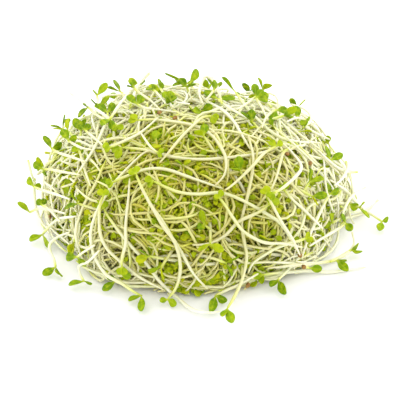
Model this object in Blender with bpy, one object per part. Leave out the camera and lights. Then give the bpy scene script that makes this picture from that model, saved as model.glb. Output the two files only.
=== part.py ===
"""Alfalfa sprouts: one loose, tangled heap of fresh sprouts at its real size.

Each sprout is one solid: a stem that tapers to its root tip, a thinner neck and its seed leaves.
The sprouts that lie whole on the heap or stick out of it are objects of their own, and so are the
loose seed coats. The body of the heap is one object: a lumpy core, the mat of sprouts packed inside,
with many sprouts fused to it.

Lengths are in millimetres, and become metres where a mesh is made. The heap stands on z = 0, with its
front towards -y.
"""

import math
import random

import bmesh
import bpy
import numpy as np
from mathutils import Matrix, Vector

MM = 0.001

# The heap's skin, the layer that its outer sprouts lie in
HEAP_HALF_WIDTH = 59.0
HEAP_HALF_DEPTH = 54.0
HEAP_HEIGHT = 46.0
HEAP_SHOULDER = 2.4  # 2 is an ellipsoid; above it the flanks are steeper and the top is flatter
HEAP_TOP_SHIFT = -4.0  # the top lies to the left of the middle
HEAP_LUMPS = 0.028  # how far the skin swells and sinks, as a share of its size

# One sprout
STEM_RADIUS = 0.65
NECK_RADIUS = 0.46
ROOT_TIP_RADIUS = 0.36
NECK_LENGTH = 9.0
ROOT_TAPER = 14.0
LEAF_LENGTH = 5.4
LEAF_HALF_WIDTH = 1.65
LEAF_THICKNESS = 0.65
LEAF_ROOT = 0.4  # how far a leaf is sunk into its stem
LEAF_OPENING = (30.0, 62.0)  # angle between a leaf and its stem, in degrees
LEAF_ROLL = 0.6
LEAF_SIZES = (0.85, 1.1)
LEAF_OUTLINE = ((0.0, 0.22), (0.5, 1.0), (0.86, 0.84))  # shares of its length and its half width
LEAF_SLIMNESS = 0.34  # a short leaf's half width is no more than this share of its length
LEAF_SAMPLES = 6  # points along a leaf, from its root to its tip, that are kept clear of others
LEAF_GUARD = 1.7  # radius kept clear round a leaf's midline
LEAF_LIFT = 0.7  # how much more than that a leaf stands off the floor
GAP = 0.5  # clear space that is kept between two solids when they are laid

# The front view: routes below are (right, up) as seen by an eye that looks down on the middle of the
# base
VIEW_TILT = math.radians(33.5)
EYE_DISTANCE = 600.0
RIGHT = np.array((1.0, 0.0, 0.0))
UP = np.array((0.0, math.sin(VIEW_TILT), math.cos(VIEW_TILT)))
EYE = EYE_DISTANCE * np.array((0.0, -math.cos(VIEW_TILT), math.sin(VIEW_TILT)))

# Laying a sprout along its route
SPACING = 1.5
CURVE_STEPS = 12  # points of the smooth curve between two points of a route
SETTLING_PASSES = 4
LAYING_HEIGHT = -1.4  # height of a stem's middle over the heap's skin, where it crosses nothing
HUMP = 9.0  # half length of the hump in which a stem passes over another
MOST_LIFTS = 60
LIFT_SHARE = 0.6  # share of a shortfall that one lift makes up
LEAST_LIFT = 0.05
LEAF_SLANT = 0.6  # how steeply a leaf may lean towards the eye or away
FLOOR_GAP = 0.15
SIGHT_RANGE = 100.0  # how far before and behind the middle of the heap a sight line is followed
SPRINGINESS = 24  # smoothing passes that bridge hollows, as a springy stem does
STRAIGHTNESS = 0.2  # how far a stem's solid may stray from its curve
OFF_AXIS = (0.3, 0.2, 1.0)  # a direction that no sprout starts in
SHARP_ANGLE = math.radians(50.0)  # edges sharper than this stay sharp to the eye

# The sprouts fused into the tangle
TANGLE_SPROUTS = 47
TANGLE_SEED = 26
INSIDE = 50.0  # distance from the middle at which a point starts before it is settled
CORE_HEIGHT = -8.4
ROOT_HEIGHT = -10.0
LYING_HEIGHTS = (-5.7, -4.0)
LEAF_HEIGHTS = (-3.2, 1.2)
LEAF_RAISE = 0.25  # how much its leaves lean out of the heap
STRAY_HEIGHTS = (2.0, 4.8)
STRAY_EVERY = 4  # one in so many sprouts stands out of the heap, except towards the front
FRONT_SIDE = -0.3  # sine of the turn below which a sprout is at the front
TURN_JITTER = 0.3
RISING_STEPS, LIFTING_STEPS = 1.5, 1.6  # steps in which it comes up out of the core, and lifts its leaves
MOST_TRIES = 60
FEWEST_STEPS, MOST_STEPS, STEP = 6, 10, 4.6
SHARPEST_CURL = 0.16  # turn at each step, in radians
ROOT_FLOOR_GAP = 1.0
FUSED_FLOOR_GAP = 0.4
LOW_GAP = 0.3
GOLDEN_ANGLE = math.pi * (3.0 - math.sqrt(5.0))

# The core, in rings from its flat underside to its top
CORE_SIDES = 28
CORE_RINGS = 10
CORE_ROUGHNESS = 1.5  # its packed sprouts stand proud or sunk by this much
UNDERSIDE_SHARE = 0.86
UNDERSIDE_ROUNDING = 2.5

# A loose seed coat
SEED_COAT_HALF_SIZE = (1.25, 0.85, 0.65)
SEED_COAT_SIDES, SEED_COAT_RINGS = 7, 5
SEED_COAT_BEND = 0.35

# Colours
STEM_COLOUR = (0.86, 0.84, 0.62, 1.0)
LEAF_COLOUR = (0.30, 0.50, 0.06, 1.0)
SEED_COAT_COLOUR = (0.30, 0.14, 0.04, 1.0)

# Each sprout on the outside of the heap: its route from the root tip to where the seed leaves part, and
# for each seed leaf its tip (right, up) and how far it is turned edge-on, in degrees
FRONT_SPROUTS = (
    (((65.5, -20), (59, -21), (51.5, -22), (43, -21.5), (36, -22), (29, -22.5), (26, -23)),
     ((21.5, -23.5, 10), (25, -26.5, 50))),
    (((24, -22.5), (17, -26.5), (11.5, -29), (7.5, -31)),
     ((12, -33, 10), (5.5, -37.5, 10))),
    (((-19, -26), (-25.5, -26), (-31, -25.5)),
     ((-36, -29, 10), (-34, -24, 60))),
    (((9.5, -37), (6, -37.5), (-1, -36.5), (-7.5, -31.5), (-14, -25.5), (-19.5, -18),
      (-27, -9.5), (-33.5, -1), (-35.5, 2.5)),
     ((-39, 4.5, 0), (-34, 6.5, 20))),
    (((70, 6), (66, 1.5), (60.5, -0.5), (55.5, -1.5), (52.5, -3)),
     ((48.5, -4, 0), (51.5, 0.5, 30))),
    (((34, 27.5), (32, 26.5), (23.5, 23.5), (6, 21.5), (-7.5, 22), (-19.5, 25), (-28.5, 26)),
     ((-34, 24, 10), (-31.5, 20, 0))),
    (((-17.5, 24.5), (-20.5, 23.5), (-29.5, 14.5), (-36, 5.5), (-39.5, -2.5), (-40.5, -8.5),
      (-39, -16), (-34.5, -23), (-29, -26), (-24, -29.5), (-21, -31)),
     ((-26, -33, 75), (-21, -37, 10))),
    (((10.5, 10), (-2.5, 14.5), (-11.5, 17.5), (-19.5, 17.5), (-29, 14), (-32, 12.5)),
     ((-36, 13, 0), (-34, 9.5, 20))),
    (((7, 11), (11, 15.5), (11.5, 21.5), (9.5, 26), (5.5, 31), (-1.5, 34.5), (-14, 36.5),
      (-22.5, 36.5)),
     ((-27.5, 36, 0), (-26, 39.5, 20))),
    (((-14, 20), (-11, 23.5), (-5.5, 30), (-1, 34.5), (2.5, 37.5), (6, 38)),
     ((10, 37.5, 30), (7.5, 34, 0))),
    (((48.5, 27.5), (44.5, 28), (40, 28), (32, 30), (26, 34.5), (19.5, 41.5), (15, 47.5)),
     ((10, 53, 80),)),
    (((21, 25), (17.5, 31), (14.5, 36), (10, 40.5), (4.5, 43.5), (0, 47.5), (-2.5, 50.5)),
     ((-12, 54.5, 60), (-9, 50, 0), (0.5, 56, 40))),
    (((20, 31), (22, 22.5), (21.5, 15.5), (19.5, 6), (17.5, -2.5), (18.5, -10), (19.5, -16),
      (18, -24), (15, -31), (12, -36)),
     ((14, -41.5, 0), (10, -39, 70))),
    (((39, -14), (33, -4), (27, 0.5), (17, 6), (9.5, 8.5), (0.5, 8), (-7.5, 9), (-16.5, 13)),
     ((-21, 14.5, 0), (-19, 9.5, 30))),
    (((4.5, -28.5), (-1, -22.5), (-5.5, -14.5), (-9.5, -8), (-13.5, -1.5), (-17.5, 4), (-22, 13),
      (-23, 16)),
     ((-27, 17.5, 0), (-22.5, 20, 20))),
    (((-21.5, 11), (-17.5, 4), (-12.5, -4.5), (-8, -11), (-6, -20), (-7.5, -27.5), (-11, -32.5)),
     ((-7.5, -34.5, 0), (-14, -33, 40))),
    (((-12, -29), (-21.5, -24), (-29.5, -17.5), (-34.5, -12.5), (-37, -6), (-37, 3.5),
      (-35.5, 7.5)),
     ((-38.5, 10.5, 10), (-33, 10.5, 10))),
    (((-25.5, 14), (-26, 6), (-27, -4), (-27, -11), (-28.5, -17), (-28.5, -20)),
     ((-30.5, -24, 20), (-26, -24, 0))),
    (((20, -22.5), (22, -18.5), (28.5, -14), (34, -11.5), (39.5, -10), (42, -9)),
     ((44.5, -6, 20), (46, -10, 30))),
    (((-1.5, -11.5), (4.5, -11), (11, -8), (16.5, -2.5), (24, 1), (28, 4)),
     ((33.5, 6.5, 0), (29, 9, 0))),
    (((41, -12.5), (34, -11), (26, -10.5), (18.5, -6.5), (14.5, -1.5), (11, 4), (9, 6.5)),
     ((6, 8, 0), (10, 11, 20))),
    (((40.5, -17), (43, -9.5), (46.5, -1.5), (50.5, 6.5), (51, 8)),
     ((50, 12.5, 20), (55, 10, 20))),
    (((40, -16), (36, -20.5), (31.5, -25)),
     ((34.5, -30.5, 40), (28.5, -27.5, 60))),
    (((40, -15.5), (37, -9), (33, -3), (29, 4.5), (27, 8)),
     ((24, 10.5, 0), (27.5, 12.5, 0))),
    (((49, -5.5), (42.5, 1), (37, 6), (34, 9.5)),
     ((31, 12, 0), (35, 14, 10))),
    (((43.5, -12), (51, -7.5), (56, -4.5), (57.5, -3)),
     ((56, 0.5, 30), (60, -6, 30))),
    (((11, 9.5), (14, 11.5), (21, 18), (26, 23.5), (31, 26.5)),
     ((27, 29, 0), (34, 29, 20))),
    (((33.5, 27.5), (37, 24), (40.5, 19), (39, 15.5), (33.5, 10.5), (30, 8.5)),
     ((26, 7, 0), (28.5, 4.5, 30))),
    (((-14.5, 37.5), (-21.5, 31.5), (-28.5, 28), (-33, 26)),
     ((-37, 27.5, 0), (-35.5, 23.5, 10))),
    (((-40.5, 11), (-42.5, 16.5), (-44, 22), (-45, 25)),
     ((-49, 25.5, 0), (-46, 29, 10))),
    (((-45.5, 16), (-39, 26), (-34.5, 36), (-34, 39.5)),
     ((-38, 42.5, 0), (-31.5, 43, 40))),
    (((-48.5, 47), (-44.5, 44), (-41, 42), (-36, 39), (-30.5, 34.5)),
     ((-32.5, 31.5, 0), (-27, 32.5, 0))),
    (((-17.5, 39.5), (-22.5, 42), (-26.5, 44.5), (-29, 47.5)),
     ((-31.5, 52, 60), (-34, 49, 70))),
    (((-17.5, 54.5), (-23, 49.5), (-27, 45.5), (-30, 41.5), (-33, 37)),
     ((-36.5, 34.5, 20), (-32, 33, 20))),
    (((-7.5, 39.5), (-14, 40.5), (-19, 41), (-22.5, 42.5)),
     ((-26.5, 46, 0), (-21, 46, 30))),
    (((-35.5, 26.5), (-39, 29.5), (-42.5, 32.5)),
     ((-46, 36, 0), (-41, 35, 40))),
    (((-40, 25), (-44.5, 26), (-49, 28.5)),
     ((-51.5, 33, 20), (-46, 30.5, 60))),
    (((-42.5, 20.5), (-48.5, 22.5), (-53, 24), (-55.5, 25.5)),
     ((-58.5, 30.5, 50), (-51.5, 27.5, 70))),
    (((-44.5, 15.5), (-51, 16.5), (-56, 17.5), (-58.5, 17.5)),
     ((-62.5, 20, 0), (-57.5, 15, 30))),
    (((-48.5, 6), (-54, 8), (-59, 9.5), (-62.5, 11)),
     ((-64.5, 14.5, 0), (-59.5, 11, 0))),
    (((-50, 0.5), (-56, 2), (-60.5, 2.5), (-64, 1)),
     ((-68.5, 5, 80),)),
    (((-46, -0.5), (-52.5, -1.5), (-56, -4), (-59, -7.5)),
     ((-64, -10, 30), (-56, -12.5, 20))),
    (((-48.5, -6.5), (-54, -9), (-56.5, -12.5), (-54.5, -17.5), (-54, -20)),
     ((-59, -23, 0), (-51.5, -23.5, 60))),
    (((-37, -13.5), (-41.5, -18), (-45, -19.5), (-44.5, -23), (-43, -25.5)),
     ((-49, -27, 70), (-40, -26.5, 50))),
    (((62.5, 16.5), (57.5, 17.5), (54, 20), (51.5, 21)),
     ((50, 26.5, 20), (56.5, 23.5, 0), (47.5, 20, 50))),
    (((51.5, 13.5), (57.5, 9.5), (60, 6.5), (64, 2.5), (68.5, -0.5), (71.5, -2.5)),
     ((74, -1, 20), (70.5, -6, 50))),
    (((38.5, -18), (47, -18.5), (53.5, -17), (59.5, -13.5)),
     ((62.5, -11, 50), (64, -14, 75))),
    (((27.5, -20.5), (36, -19.5), (44.5, -19), (50.5, -18), (54, -17.5)),
     ((58.5, -21.5, 10), (58, -17.5, 60))),
    (((15.5, 40.5), (19, 42.5), (23, 45.5)),
     ((22.5, 50.5, 0), (28, 46, 20))),
    (((51.5, 29), (46, 31.5), (42, 34), (39, 37)),
     ((38.5, 42, 0), (35, 38, 40))),
)

# Where loose seed coats lie, in the same front view
SEED_COATS = (
    (40, -15.5), (41.5, -20), (-14, 39.5), (-8, 37.5), (44, 20), (35, 23.5), (20, -27), (-56, -0.5),
)


def heap_scale(points):
    """The size of the copy of the heap on whose skin each point lies: 1 on the heap's own skin."""
    x, y, z = np.moveaxis(np.asarray(points, float), -1, 0)
    z = np.maximum(z, 0.0) / HEAP_HEIGHT
    x = (x - HEAP_TOP_SHIFT * z) / HEAP_HALF_WIDTH
    y = y / HEAP_HALF_DEPTH
    level = np.hypot(x, y)
    turn = np.arctan2(y, x)
    wave = np.sin(3.0 * turn + 0.6)
    wave += 0.7 * np.sin(5.0 * turn - 2.0 * z)
    wave += 0.6 * np.sin(8.0 * turn + 5.0 * z)
    swell = 1.0 + HEAP_LUMPS * np.minimum(level, 1.0) * wave
    return (level**HEAP_SHOULDER + z**HEAP_SHOULDER) ** (1.0 / HEAP_SHOULDER) / swell


def heap_slope(points):
    """The gradient of heap_scale, which points straight out of the heap."""
    points = np.asarray(points, float)
    nudge = 0.05
    sides = [
        heap_scale(points + nudge * axis) - heap_scale(points - nudge * axis)
        for axis in np.eye(3)
    ]
    return np.stack(sides, axis=-1) / (2.0 * nudge)


def heap_height(points):
    """The height of each point over the heap's skin."""
    return (heap_scale(points) - 1.0) / np.linalg.norm(heap_slope(points), axis=-1)


def unit(vectors):
    return vectors / np.linalg.norm(vectors, axis=-1, keepdims=True)


def settled(points, height, floor):
    """The points moved straight in or out to this height over the skin, and no lower than the floor."""
    points = np.array(points, float)
    for _ in range(SETTLING_PASSES):
        slope = heap_slope(points)
        steepness = np.linalg.norm(slope, axis=-1, keepdims=True)
        off = (heap_scale(points)[..., None] - 1.0) / steepness - np.asarray(height)[..., None]
        points -= off * slope / steepness
        points[..., 2] = np.maximum(points[..., 2], floor)
    return points


def smooth_run(points, spacing):
    """Evenly spaced points of the smooth curve through these points."""
    points = np.array(points, float)
    padded = np.vstack((2 * points[0] - points[1], points, 2 * points[-1] - points[-2]))
    share = np.linspace(0.0, 1.0, CURVE_STEPS, endpoint=False)[:, None]
    pieces = []
    for a, b, c, d in zip(padded, padded[1:], padded[2:], padded[3:]):
        bend = (2 * a - 5 * b + 4 * c - d) * share**2 + (3 * b - a - 3 * c + d) * share**3
        pieces.append(b + 0.5 * ((c - a) * share + bend))
    curve = np.vstack(pieces + [points[-1:]])
    along = np.append(0.0, np.cumsum(np.linalg.norm(np.diff(curve, axis=0), axis=1)))
    stops = np.linspace(0.0, along[-1], max(3, round(along[-1] / spacing) + 1))
    return np.stack([np.interp(stops, along, side) for side in curve.T], axis=1)


def on_sight_lines(view, height, floor):
    """Where the sight line through each point of the front view first meets the layer at its height or
    the floor, or comes nearest to the heap."""
    target = np.outer(view[:, 0], RIGHT) + np.outer(view[:, 1], UP)
    line = unit(target - EYE)
    reach = np.arange(-SIGHT_RANGE, SIGHT_RANGE)
    points = target[:, None] + reach[None, :, None] * line[:, None]
    gap = heap_height(points) - height[:, None]
    to_floor = (floor - target[:, 2]) / line[:, 2]
    above = reach[None, :] < to_floor[:, None]
    first_met = []
    for row, clear in zip(gap, above):
        last = int(clear.sum()) - 1
        met = np.flatnonzero(row[: last + 1] <= 0.0)
        if met.size:
            k = max(int(met[0]), 1)
            first_met.append(reach[k] - row[k] / (row[k] - row[k - 1]))
        else:
            nearest = int(row[: last + 1].argmin())
            first_met.append(reach[nearest] if nearest < last else np.inf)
    return target, line, np.minimum(first_met, to_floor), to_floor


def laid(view, breaks, height, floor):
    """The points in space of a sprout drawn in the front view. The stem, the first strand, bridges
    hollows, and the leaves stay near the depth of its end."""
    target, line, limit, to_floor = on_sight_lines(view, height, floor)
    depth = limit.copy()
    for start, end in breaks:
        strand = depth[start:end]
        for _ in range(SPRINGINESS):
            padded = np.concatenate((strand[:1], strand, strand[-1:]))
            strand = np.minimum(limit[start:end], (padded[:-2] + 2 * padded[1:-1] + padded[2:]) / 4.0)
        depth[start:end] = strand
    fork = breaks[0][1]
    away = LEAF_SLANT * np.linalg.norm(view[fork:] - view[fork - 1], axis=1)
    depth[fork:] = np.clip(depth[fork:], depth[fork - 1] - away, depth[fork - 1] + away)
    return target + np.minimum(depth, to_floor)[:, None] * line


def stem_radii(along):
    """Radius at each distance from the root tip, the last one being where the seed leaves part."""
    along = np.asarray(along)
    root = ROOT_TIP_RADIUS + (STEM_RADIUS - ROOT_TIP_RADIUS) * np.minimum(along / ROOT_TAPER, 1.0)
    neck = NECK_RADIUS + (STEM_RADIUS - NECK_RADIUS) * np.minimum((along[-1] - along) / NECK_LENGTH, 1.0)
    return np.minimum(root, neck)


class Placed:
    """The middle lines laid so far, as points with the radius that each keeps clear."""

    def __init__(self):
        self.points = np.empty((0, 3))
        self.radii = np.empty(0)

    def add(self, points, radii):
        self.points = np.vstack((self.points, points))
        self.radii = np.append(self.radii, radii)

    def shortfall(self, points, radii):
        """How much nearer than allowed each new point is to what is laid. Below 0 it is clear."""
        if not len(self.radii):
            return np.full(len(points), -1.0)
        away = np.linalg.norm(points[:, None] - self.points[None], axis=2)
        return (radii[:, None] + self.radii[None] + GAP - away).max(axis=1)


def filled_in(points, radii, links):
    """The points with three more along each link between two of them, and the radius at each."""
    starts, ends = points[links[:, 0]], points[links[:, 1]]
    between = [starts + share * (ends - starts) for share in (0.25, 0.5, 0.75)]
    return np.vstack([points] + between), np.concatenate([radii] + 3 * [radii[links].max(axis=1)])


def lay_sprout(route, tips, placed):
    """One outside sprout: it follows the heap's skin, and is lifted in long humps over those laid
    before it."""
    stem = smooth_run(route, SPACING)
    strands = [stem] + [np.linspace(stem[-1], tip[:2], LEAF_SAMPLES)[1:] for tip in tips]
    view = np.vstack(strands)
    ends = np.cumsum([len(strand) for strand in strands])
    breaks = list(zip(np.append(0, ends[:-1]), ends))
    links = np.array([(k, k + 1) for start, end in breaks for k in range(start, end - 1)])
    along = [SPACING * np.arange(len(stem))]
    along += [along[0][-1] + np.linalg.norm(strand - stem[-1], axis=1) for strand in strands[1:]]
    radii = np.concatenate([stem_radii(along[0])] + [np.full(len(s), LEAF_GUARD) for s in strands[1:]])
    to_leaves = np.minimum((along[0][-1] - along[0]) / NECK_LENGTH, 1.0)
    floors = radii + LEAF_LIFT
    floors[: len(stem)] = radii[: len(stem)] + FLOOR_GAP
    rise = LEAF_GUARD + LEAF_LIFT - NECK_RADIUS
    floors[: len(stem)] += rise * (0.5 + 0.5 * np.cos(math.pi * to_leaves))
    along = np.concatenate(along)
    hump = 0.5 + 0.5 * np.cos(math.pi * np.minimum(np.abs(along[:, None] - along[None]) / HUMP, 1.0))
    lift = np.zeros(len(view))
    for _ in range(MOST_LIFTS):
        raised = (lift[None] * hump).max(axis=1)
        points = laid(view, breaks, LAYING_HEIGHT + raised, floors + raised)
        short = placed.shortfall(*filled_in(points, radii, links))
        if short.max() <= 0.0:
            break
        between = short[len(view) :].reshape(3, -1).max(axis=0)
        short = short[: len(view)]
        for end in (0, 1):
            np.maximum.at(short, links[:, end], between)
        lift += np.where(short > 0.0, LIFT_SHARE * short + LEAST_LIFT, 0.0)
    placed.add(*filled_in(points, radii, links))
    stem, *leaves = [points[a:b] for a, b in breaks]
    blades = []
    for leaf, tip in zip(leaves, tips):
        middle = leaf[len(leaf) // 2]
        facing = unit(unit(heap_slope(middle)) + unit(EYE - middle))
        blades.append((stem[-1], leaf[-1], facing, math.radians(tip[2])))
    return stem, blades


def wander(draw, turn, rise, top):
    """A fused sprout's middle line: it starts inside the core in this direction, lies along the heap and
    lifts its leaves out to the height given as top."""
    out = np.array((math.cos(turn) * math.cos(rise), math.sin(turn) * math.cos(rise), math.sin(rise)))
    point = settled(INSIDE * out, ROOT_HEIGHT, STEM_RADIUS + ROOT_FLOOR_GAP)
    heading = np.array([draw.gauss(0.0, 1.0) for _ in range(3)])
    curl = draw.uniform(-SHARPEST_CURL, SHARPEST_CURL)
    steps = draw.randint(FEWEST_STEPS, MOST_STEPS)
    lying = draw.choice(LYING_HEIGHTS)
    turns = (0, RISING_STEPS, steps - LIFTING_STEPS, steps)
    line = [point]
    for step in range(1, steps + 1):
        normal = unit(heap_slope(point))
        heading = unit(heading - normal * heading.dot(normal))
        heading = unit(heading * math.cos(curl) + np.cross(normal, heading) * math.sin(curl))
        height = np.interp(step, turns, (ROOT_HEIGHT, lying, lying, top))
        moved = settled(point + STEP * heading, height, STEM_RADIUS + FUSED_FLOOR_GAP)
        heading = moved - point
        point = moved
        line.append(point)
    return np.array(line)


def leaf_tips(draw, stem):
    """Tips and facing of the two seed leaves that open at the end of this stem."""
    ahead = unit(stem[-1] - stem[-2])
    out = unit(heap_slope(stem[-1]))
    side = unit(np.cross(out, ahead))
    opening = math.radians(draw.uniform(*LEAF_OPENING))
    roll = draw.uniform(-LEAF_ROLL, LEAF_ROLL)
    side = unit(side + roll * np.cross(ahead, side))
    blades = []
    for way in (-1, 1):
        axis = ahead * math.cos(opening) + way * side * math.sin(opening) + LEAF_RAISE * out
        length = LEAF_LENGTH * draw.uniform(*LEAF_SIZES)
        turned = draw.uniform(-LEAF_ROLL, LEAF_ROLL)
        blades.append((stem[-1], stem[-1] + length * unit(axis), unit(out + ahead), turned))
    return blades


def straightened(line, most):
    """Fewer points of the line, no part of which then strays further than this."""
    start, end = line[0], line[-1]
    axis = unit(end - start)
    off = line - start
    off = np.linalg.norm(off - np.outer(off @ axis, axis), axis=1)
    k = int(off.argmax())
    if off[k] <= most:
        return [start, end]
    return straightened(line[: k + 1], most)[:-1] + straightened(line[k:], most)


def make_material(name, colour, roughness):
    material = bpy.data.materials.new(name)
    material.use_nodes = True
    shader = material.node_tree.nodes["Principled BSDF"]
    shader.inputs["Base Color"].default_value = colour
    shader.inputs["Roughness"].default_value = roughness
    shader.inputs["Metallic"].default_value = 0.0
    material.diffuse_color = colour
    return material


def as_object(name, bm, materials):
    """The finished mesh as an object, in metres and with round parts shaded smooth."""
    bmesh.ops.recalc_face_normals(bm, faces=bm.faces)
    bmesh.ops.scale(bm, vec=Vector((MM, MM, MM)), verts=bm.verts)
    mesh = bpy.data.meshes.new(name)
    bm.to_mesh(mesh)
    bm.free()
    for material in materials:
        mesh.materials.append(material)
    mesh.shade_smooth()
    mesh.set_sharp_from_angle(angle=SHARP_ANGLE)
    obj = bpy.data.objects.new(name, mesh)
    bpy.context.scene.collection.objects.link(obj)
    return obj


def stem_shape(line, sides):
    """A tube along the line, thin at its root tip and its neck, closed at both ends."""
    along = np.append(0.0, np.cumsum(np.linalg.norm(np.diff(line, axis=0), axis=1)))
    bm = bmesh.new()
    across = Vector(unit(np.cross(line[1] - line[0], OFF_AXIS)))
    rings = []
    for k, (point, radius) in enumerate(zip(line, stem_radii(along))):
        ahead = Vector(line[min(k + 1, len(line) - 1)] - line[max(k - 1, 0)]).normalized()
        across = (across - ahead * across.dot(ahead)).normalized()
        place = Matrix((across, ahead.cross(across), ahead)).transposed().to_4x4()
        place.translation = Vector(point)
        ring = bmesh.ops.create_circle(bm, segments=sides, radius=radius, matrix=place)["verts"]
        rings.append(ring)
    for ring, following in zip(rings, rings[1:]):
        for a in range(sides):
            b = (a + 1) % sides
            bm.faces.new((ring[a], ring[b], following[b], following[a]))
    bm.faces.new(rings[0][::-1])
    bm.faces.new(rings[-1])
    return bm


def leaf_shape(base, tip, facing, turned):
    """One seed leaf: an even blade of oval outline, narrow where it leaves the stem."""
    axis = unit(tip - base)
    length = np.linalg.norm(tip - base) + LEAF_ROOT
    half_width = min(LEAF_HALF_WIDTH, LEAF_SLIMNESS * length)
    across = unit(np.cross(axis, facing))
    across = math.cos(turned) * across + math.sin(turned) * np.cross(axis, across)
    thick = LEAF_THICKNESS * np.cross(across, axis)
    start = base - LEAF_ROOT * axis - 0.5 * thick
    right = [start + axis * length * a + across * half_width * b for a, b in LEAF_OUTLINE]
    left = [start + axis * length * a - across * half_width * b for a, b in LEAF_OUTLINE]
    bm = bmesh.new()
    outline = right + [start + axis * length] + left[::-1]
    blade = bm.faces.new([bm.verts.new(corner) for corner in outline])
    raised = bmesh.ops.extrude_face_region(bm, geom=[blade], use_keep_orig=True)["geom"]
    corners = [item for item in raised if isinstance(item, bmesh.types.BMVert)]
    bmesh.ops.translate(bm, vec=Vector(thick), verts=corners)
    for face in bm.faces:
        face.material_index = 1
    return bm


def core_shape(draw):
    """The packed middle of the heap: a lumpy dome with a flat underside."""
    bm = bmesh.new()
    rings = []
    for k in range(CORE_RINGS):
        rise = 0.5 * math.pi * k / CORE_RINGS
        ring = []
        for side in range(CORE_SIDES):
            turn = 2.0 * math.pi * (side + 0.5 * (k % 2)) / CORE_SIDES
            out = (math.cos(turn) * math.cos(rise), math.sin(turn) * math.cos(rise), math.sin(rise))
            height = CORE_HEIGHT + CORE_ROUGHNESS * draw.uniform(-1.0, 1.0)
            point = settled(INSIDE * np.array(out), height, 0.0)
            point[2] = max(point[2], UNDERSIDE_ROUNDING)
            ring.append(bm.verts.new(point))
        rings.append(ring)
    under = [bm.verts.new((v.co.x * UNDERSIDE_SHARE, v.co.y * UNDERSIDE_SHARE, 0.0)) for v in rings[0]]
    top = bm.verts.new(settled(np.array((HEAP_TOP_SHIFT, 0.0, INSIDE)), CORE_HEIGHT, 0.0))
    rings.insert(0, under)
    for ring, following in zip(rings, rings[1:]):
        for a in range(CORE_SIDES):
            b = (a + 1) % CORE_SIDES
            bm.faces.new((ring[a], ring[b], following[b], following[a]))
    for a in range(CORE_SIDES):
        bm.faces.new((rings[-1][a], rings[-1][(a + 1) % CORE_SIDES], top))
    bm.faces.new(under[::-1])
    bmesh.ops.triangulate(bm, faces=[face for face in bm.faces if len(face.verts) == 4])
    return bm


def keep_outer_skin(mesh):
    """Fills sealed hollows and drops loose scraps: only the largest of the closed surfaces stays."""
    bm = bmesh.new()
    bm.from_mesh(mesh)
    left = set(bm.verts)
    surfaces = []
    while left:
        reached = [left.pop()]
        for vert in reached:
            for edge in vert.link_edges:
                other = edge.other_vert(vert)
                if other in left:
                    left.discard(other)
                    reached.append(other)
        surfaces.append(reached)
    surfaces.sort(key=len)
    for surface in surfaces[:-1]:
        bmesh.ops.delete(bm, geom=surface, context="VERTS")
    bm.to_mesh(mesh)
    bm.free()


def fuse(base, pieces):
    """Joins the pieces to the base in one Boolean union, and removes them."""
    group = bpy.data.collections.new(base.name + "_pieces")
    bpy.context.scene.collection.children.link(group)
    for piece in pieces:
        bpy.context.scene.collection.objects.unlink(piece)
        group.objects.link(piece)
    union = base.modifiers.new("union", "BOOLEAN")
    union.operation = "UNION"
    union.operand_type = "COLLECTION"
    union.collection = group
    union.solver = "EXACT"
    with bpy.context.temp_override(object=base, active_object=base):
        bpy.ops.object.modifier_apply(modifier=union.name)
    for piece in pieces:
        bpy.data.objects.remove(piece)
    bpy.data.collections.remove(group)
    keep_outer_skin(base.data)
    base.data.shade_smooth()
    base.data.set_sharp_from_angle(angle=SHARP_ANGLE)


def make_sprout(name, stem, blades, sides, materials):
    line = np.array(straightened(stem, STRAIGHTNESS))
    sprout = as_object(name, stem_shape(line, sides), materials)
    leaves = [as_object(f"{name}_leaf", leaf_shape(*blade), materials) for blade in blades]
    return sprout, leaves


def make_seed_coat(name, view, placed, draw, material):
    """A small bean-shaped seed coat on top of what lies at this place."""
    size = max(SEED_COAT_HALF_SIZE)
    height = LAYING_HEIGHT
    for _ in range(MOST_LIFTS):
        floor = height + 2.0 * size
        at = laid(np.array([view], float), [(0, 1)], np.array([height]), np.array([floor]))
        short = placed.shortfall(at, np.array([size]))[0]
        if short <= 0.0:
            break
        height += short + LEAST_LIFT
    placed.add(at, [size])
    bm = bmesh.new()
    bmesh.ops.create_uvsphere(bm, u_segments=SEED_COAT_SIDES, v_segments=SEED_COAT_RINGS, radius=1.0)
    for vert in bm.verts:
        vert.co.z -= SEED_COAT_BEND * vert.co.x**2
        vert.co = Vector(a * b for a, b in zip(vert.co, SEED_COAT_HALF_SIZE))
    out = Vector(unit(heap_slope(at[0])))
    place = out.to_track_quat("Z", "Y").to_matrix() @ Matrix.Rotation(draw.uniform(0.0, math.pi), 3, "Z")
    bmesh.ops.rotate(bm, matrix=place, verts=bm.verts)
    bmesh.ops.translate(bm, vec=Vector(at[0]), verts=bm.verts)
    return as_object(name, bm, [material])


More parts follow.
